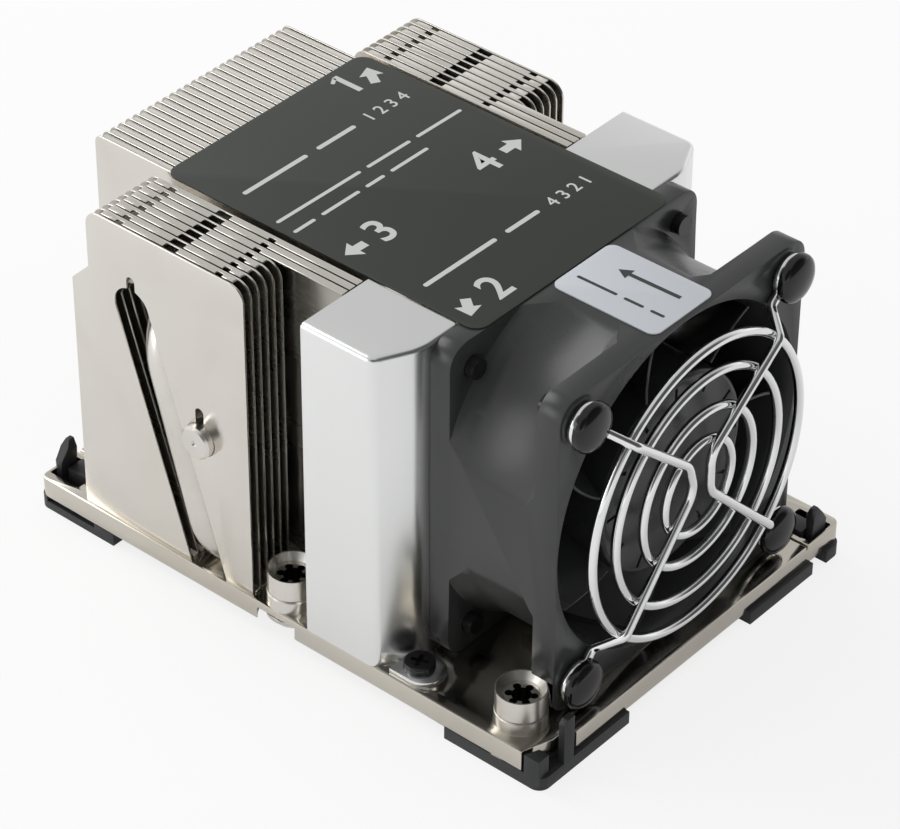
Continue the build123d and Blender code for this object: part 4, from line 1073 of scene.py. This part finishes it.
first_rivet = push_rivet()
rivets = []
for x in (-rivet_offset, rivet_offset):
    for z in (fan_axis_z - rivet_offset, fan_axis_z + rivet_offset):
        rivet = copy_of(first_rivet)
        rivet.location = (x * MM, 0, z * MM)
        rivets.append(rivet)
bpy.data.objects.remove(first_rivet)
all_rivets = join_pieces("push_rivets", rivets)
settle(all_rivets, 40)
hand_over(all_rivets, "heatsink", "rivet_plastic", rivet_plastic, "guard_rivets")
print("rivet faces:", len(all_rivets.data.polygons))

# %% [markdown]
# A label is a thin laminated sheet with rounded corners. It starts as a plane, its corner
# points are bevelled in edit mode, and it is extruded up by its thickness. The print on it
# is generic: plain numbers, plain arrows, and bars where a line of words would be.

# %% Labels
label_base = 64.0
label_face = 64.28
label_edge = 0.05
print_face = 64.30


def sheet_label(name, left, right, front, back, corner):
    """A thin sheet with rounded corners on the top of the fins."""
    bpy.ops.object.select_all(action="DESELECT")
    bpy.ops.mesh.primitive_plane_add(
        size=MM, location=((left + right) / 2 * MM, (front + back) / 2 * MM, label_base * MM)
    )
    label = bpy.context.object
    label.name = name
    label.scale = (right - left, back - front, 1)
    bpy.ops.object.transform_apply(location=True, rotation=True, scale=True)
    edit_whole(label)
    bpy.ops.mesh.bevel(offset=corner * MM, segments=6, affect="VERTICES")
    bpy.ops.mesh.select_all(action="SELECT")
    bpy.ops.mesh.extrude_region_move(
        TRANSFORM_OT_translate={"value": (0, 0, (label_face - label_base) * MM)}
    )
    bpy.ops.mesh.select_all(action="SELECT")
    bpy.ops.mesh.normals_make_consistent(inside=False)
    leave_edit()
    shape_with(label, "BEVEL", width=label_edge * MM, segments=2, limit_method="ANGLE",
               angle_limit=radians(50))
    settle(label, 40)
    return label


top_label = sheet_label("top_label_sheet", -23.4, 23.4, -28.0, 37.0, 2.5)
hand_over(top_label, "heatsink", "dark_label", label_dark, "top_label")
flow_label = sheet_label("airflow_label_sheet", -6.9, 7.9, -48.5, -28.3, 1.6)
hand_over(flow_label, "heatsink", "white_label", label_white, "airflow_label")
print("labels laid at", label_face, "mm")

# %% [markdown]
# Each mark of the print is a flat shape lifted by a fiftieth of a millimetre. The numbers
# are text objects turned to meshes, the large 1 with a flag of its own, because the font's
# 1 is a bare stroke. An arrow is a plane as its shaft with a triangle as its head, and a bar
# is a plane with rounded ends. Arrows are given as tail, tip and shape: the shaft's width,
# the head's width and the head's length.

# %% Print on the labels
big_number = 8.4
big_stroke = 0.13
small_number = 3.5
small_stroke = 0.03
number_steps = 6
one_flag = (1.24, 1.32)
flag_width = 0.72
flag_root = (0.288, 0.36)
big_arrow = (1.7, 4.2, 2.5)
flow_arrow = (0.8, 2.6, 2.2)
bar_roundness = 0.45


def print_number(text, place, size, stroke=0.0):
    """Plain numbers, as a flat mesh, with their strokes made wider by a part of a millimetre."""
    bpy.ops.object.select_all(action="DESELECT")
    bpy.ops.object.text_add(location=(place[0] * MM, place[1] * MM, print_face * MM))
    number = bpy.context.object
    number.data.body = text
    number.data.size = size * MM
    number.data.align_x = "CENTER"
    number.data.align_y = "CENTER"
    number.data.resolution_u = number_steps
    number.data.offset = stroke * MM
    bpy.ops.object.convert(target="MESH")
    return bpy.context.object


def print_one(place, size, stroke):
    """The number 1 with a short slanting flag, as a list of two flat marks."""
    number = print_number("1", place, size, stroke)
    left = place[0] + min(vertex.co.x for vertex in number.data.vertices) / MM
    top = place[1] + max(vertex.co.y for vertex in number.data.vertices) / MM
    root = (left + flag_root[0], top - flag_root[1])
    tip = (left - one_flag[0], top - one_flag[1])
    return [number, print_bar(root, tip, flag_width)]


def print_arrow(tail, tip, shaft_width, head_width, head_length):
    """A flat arrow from a tail to a tip."""
    along = Vector(tip) - Vector(tail)
    shaft = along.length - head_length
    bpy.ops.object.select_all(action="DESELECT")
    bpy.ops.mesh.primitive_plane_add(size=1, location=(0, 0, 0))
    arrow = bpy.context.object
    corners = {(-1, -1): (0, -shaft_width / 2), (1, -1): (shaft, -shaft_width / 2),
               (-1, 1): (0, shaft_width / 2), (1, 1): (shaft, shaft_width / 2)}
    for vertex in arrow.data.vertices:
        key = (1 if vertex.co.x > 0 else -1, 1 if vertex.co.y > 0 else -1)
        vertex.co = (*[v * MM for v in corners[key]], 0)
    mesh = bmesh.new()
    mesh.from_mesh(arrow.data)
    head = [mesh.verts.new((shaft * MM, -head_width / 2 * MM, 0)),
            mesh.verts.new(((shaft + head_length) * MM, 0, 0)),
            mesh.verts.new((shaft * MM, head_width / 2 * MM, 0))]
    mesh.faces.new(head)
    mesh.to_mesh(arrow.data)
    mesh.free()
    arrow.location = (tail[0] * MM, tail[1] * MM, print_face * MM)
    arrow.rotation_euler = (0, 0, atan2(along.y, along.x))
    return arrow


def print_bar(start, end, width):
    """A flat bar with rounded ends."""
    along = Vector(end) - Vector(start)
    middle = (Vector(start) + Vector(end)) / 2
    bpy.ops.object.select_all(action="DESELECT")
    bpy.ops.mesh.primitive_plane_add(size=MM)
    bar = bpy.context.object
    bar.scale = (along.length, width, 1)
    bpy.ops.object.transform_apply(location=True, rotation=True, scale=True)
    edit_whole(bar)
    bpy.ops.mesh.bevel(offset=width * bar_roundness * MM, segments=3, affect="VERTICES")
    leave_edit()
    bar.location = (middle.x * MM, middle.y * MM, print_face * MM)
    bar.rotation_euler = (0, 0, atan2(along.y, along.x))
    return bar


def word_bars(start, end, widths, gap, thick):
    """A row of bars in place of a line of words, from the words' shares of its length."""
    start = Vector(start)
    along = Vector(end) - start
    room = along.length - gap * (len(widths) - 1)
    unit = along.normalized()
    bars = []
    reached = 0.0
    for share in widths:
        length = room * share / sum(widths)
        bars.append(print_bar(start + unit * reached, start + unit * (reached + length), thick))
        reached += length + gap
    return bars


def join_marks(name, marks, material, slot):
    """Makes all the marks of a label one flat piece."""
    piece = join_pieces(name, marks)
    edit_whole(piece)
    bpy.ops.mesh.normals_make_consistent(inside=False)
    leave_edit()
    settle(piece)
    if piece.data.polygons[0].normal.z < 0:
        piece.data.flip_normals()
    hand_over(piece, "heatsink", slot, material)
    return piece


marks = print_one((15.0, 32.2), big_number, big_stroke)
marks += [
    print_number("3", (-13.0, 0.4), big_number, big_stroke),
    print_number("4", (12.0, 0.6), big_number, big_stroke),
    print_number("2", (-13.0, -22.6), big_number, big_stroke),
    print_number("1 2 3 4", (14.0, 23.2), small_number, small_stroke),
    print_number("4 3 2 1", (14.6, -14.5), small_number, small_stroke),
    print_arrow((18.2, 29.2), (20.7, 33.4), *big_arrow),
    print_arrow((-17.1, 0.1), (-21.6, 0.3), *big_arrow),
    print_arrow((16.3, 0.6), (20.9, 0.6), *big_arrow),
    print_arrow((-18.2, -21.0), (-21.0, -24.6), *big_arrow),
]
marks += word_bars((-19.6, 23.4), (6.4, 23.2), (8.5, 5.2), 2.4, 0.9)
marks += word_bars((-22.0, 14.1), (21.2, 13.5), (12.5, 6.6, 7.0), 1.6, 0.7)
marks += word_bars((-22.2, 10.3), (9.2, 10.2), (3.6, 6.5, 3.2, 6.6), 1.6, 0.7)
marks += word_bars((-19.8, -14.2), (7.2, -14.4), (11.5, 5.4), 2.4, 0.9)
join_marks("top_label_print", marks, print_pale, "dark_label")

flow_marks = [print_arrow((3.3, -45.4), (3.0, -33.6), *flow_arrow)]
flow_marks += word_bars((-2.2, -46.6), (-2.5, -30.0), (2.4, 3.4, 7.0), 1.3, 0.6)
join_marks("airflow_label_print", flow_marks, print_dark, "white_label")
print("marks printed")

# %% [markdown]
# A captive nut is a turned part: a plain shank, a slightly wider lower ring, an open
# mouth that leads a driver in, and a star-shaped socket. Its round walls come from the
# solid and are smoothed in a copy. The socket is broached, not turned. Its walls get a
# darker colour that is painted shade, for the shade deep in the recess.

# %% Captive nuts
socket_top = 1.5
socket_depth = 3.1
socket_reach = 2.9
socket_slack = 0.05
rim_slack = 0.01


def in_socket(node):
    """True for a face of the star socket, whose corners all lie near the nut's axis."""
    low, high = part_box(node)
    middle = Vector(((low[0] + high[0]) / 2, (low[1] + high[1]) / 2))
    upper = high[2] - (socket_top + rim_slack) * MM
    lower = high[2] - (socket_top + socket_depth + socket_slack) * MM

    def wanted(mesh, face):
        corners = [mesh.vertices[index].co for index in face.vertices]
        inside = all((corner.xy - middle).length < socket_reach * MM for corner in corners)
        return inside and lower < face.center.z < upper

    return wanted


for number in (1, 2, 3, 4):
    nut = dressed_copy(f"captive_nut_{number}", f"nut_{number}", "nut_steel", nut_nickel)
    # The socket's walls get the painted shade.
    second_finish(nut, socket_painted_shade, in_socket(f"captive_nut_{number}"))
print("nuts dressed: 4")
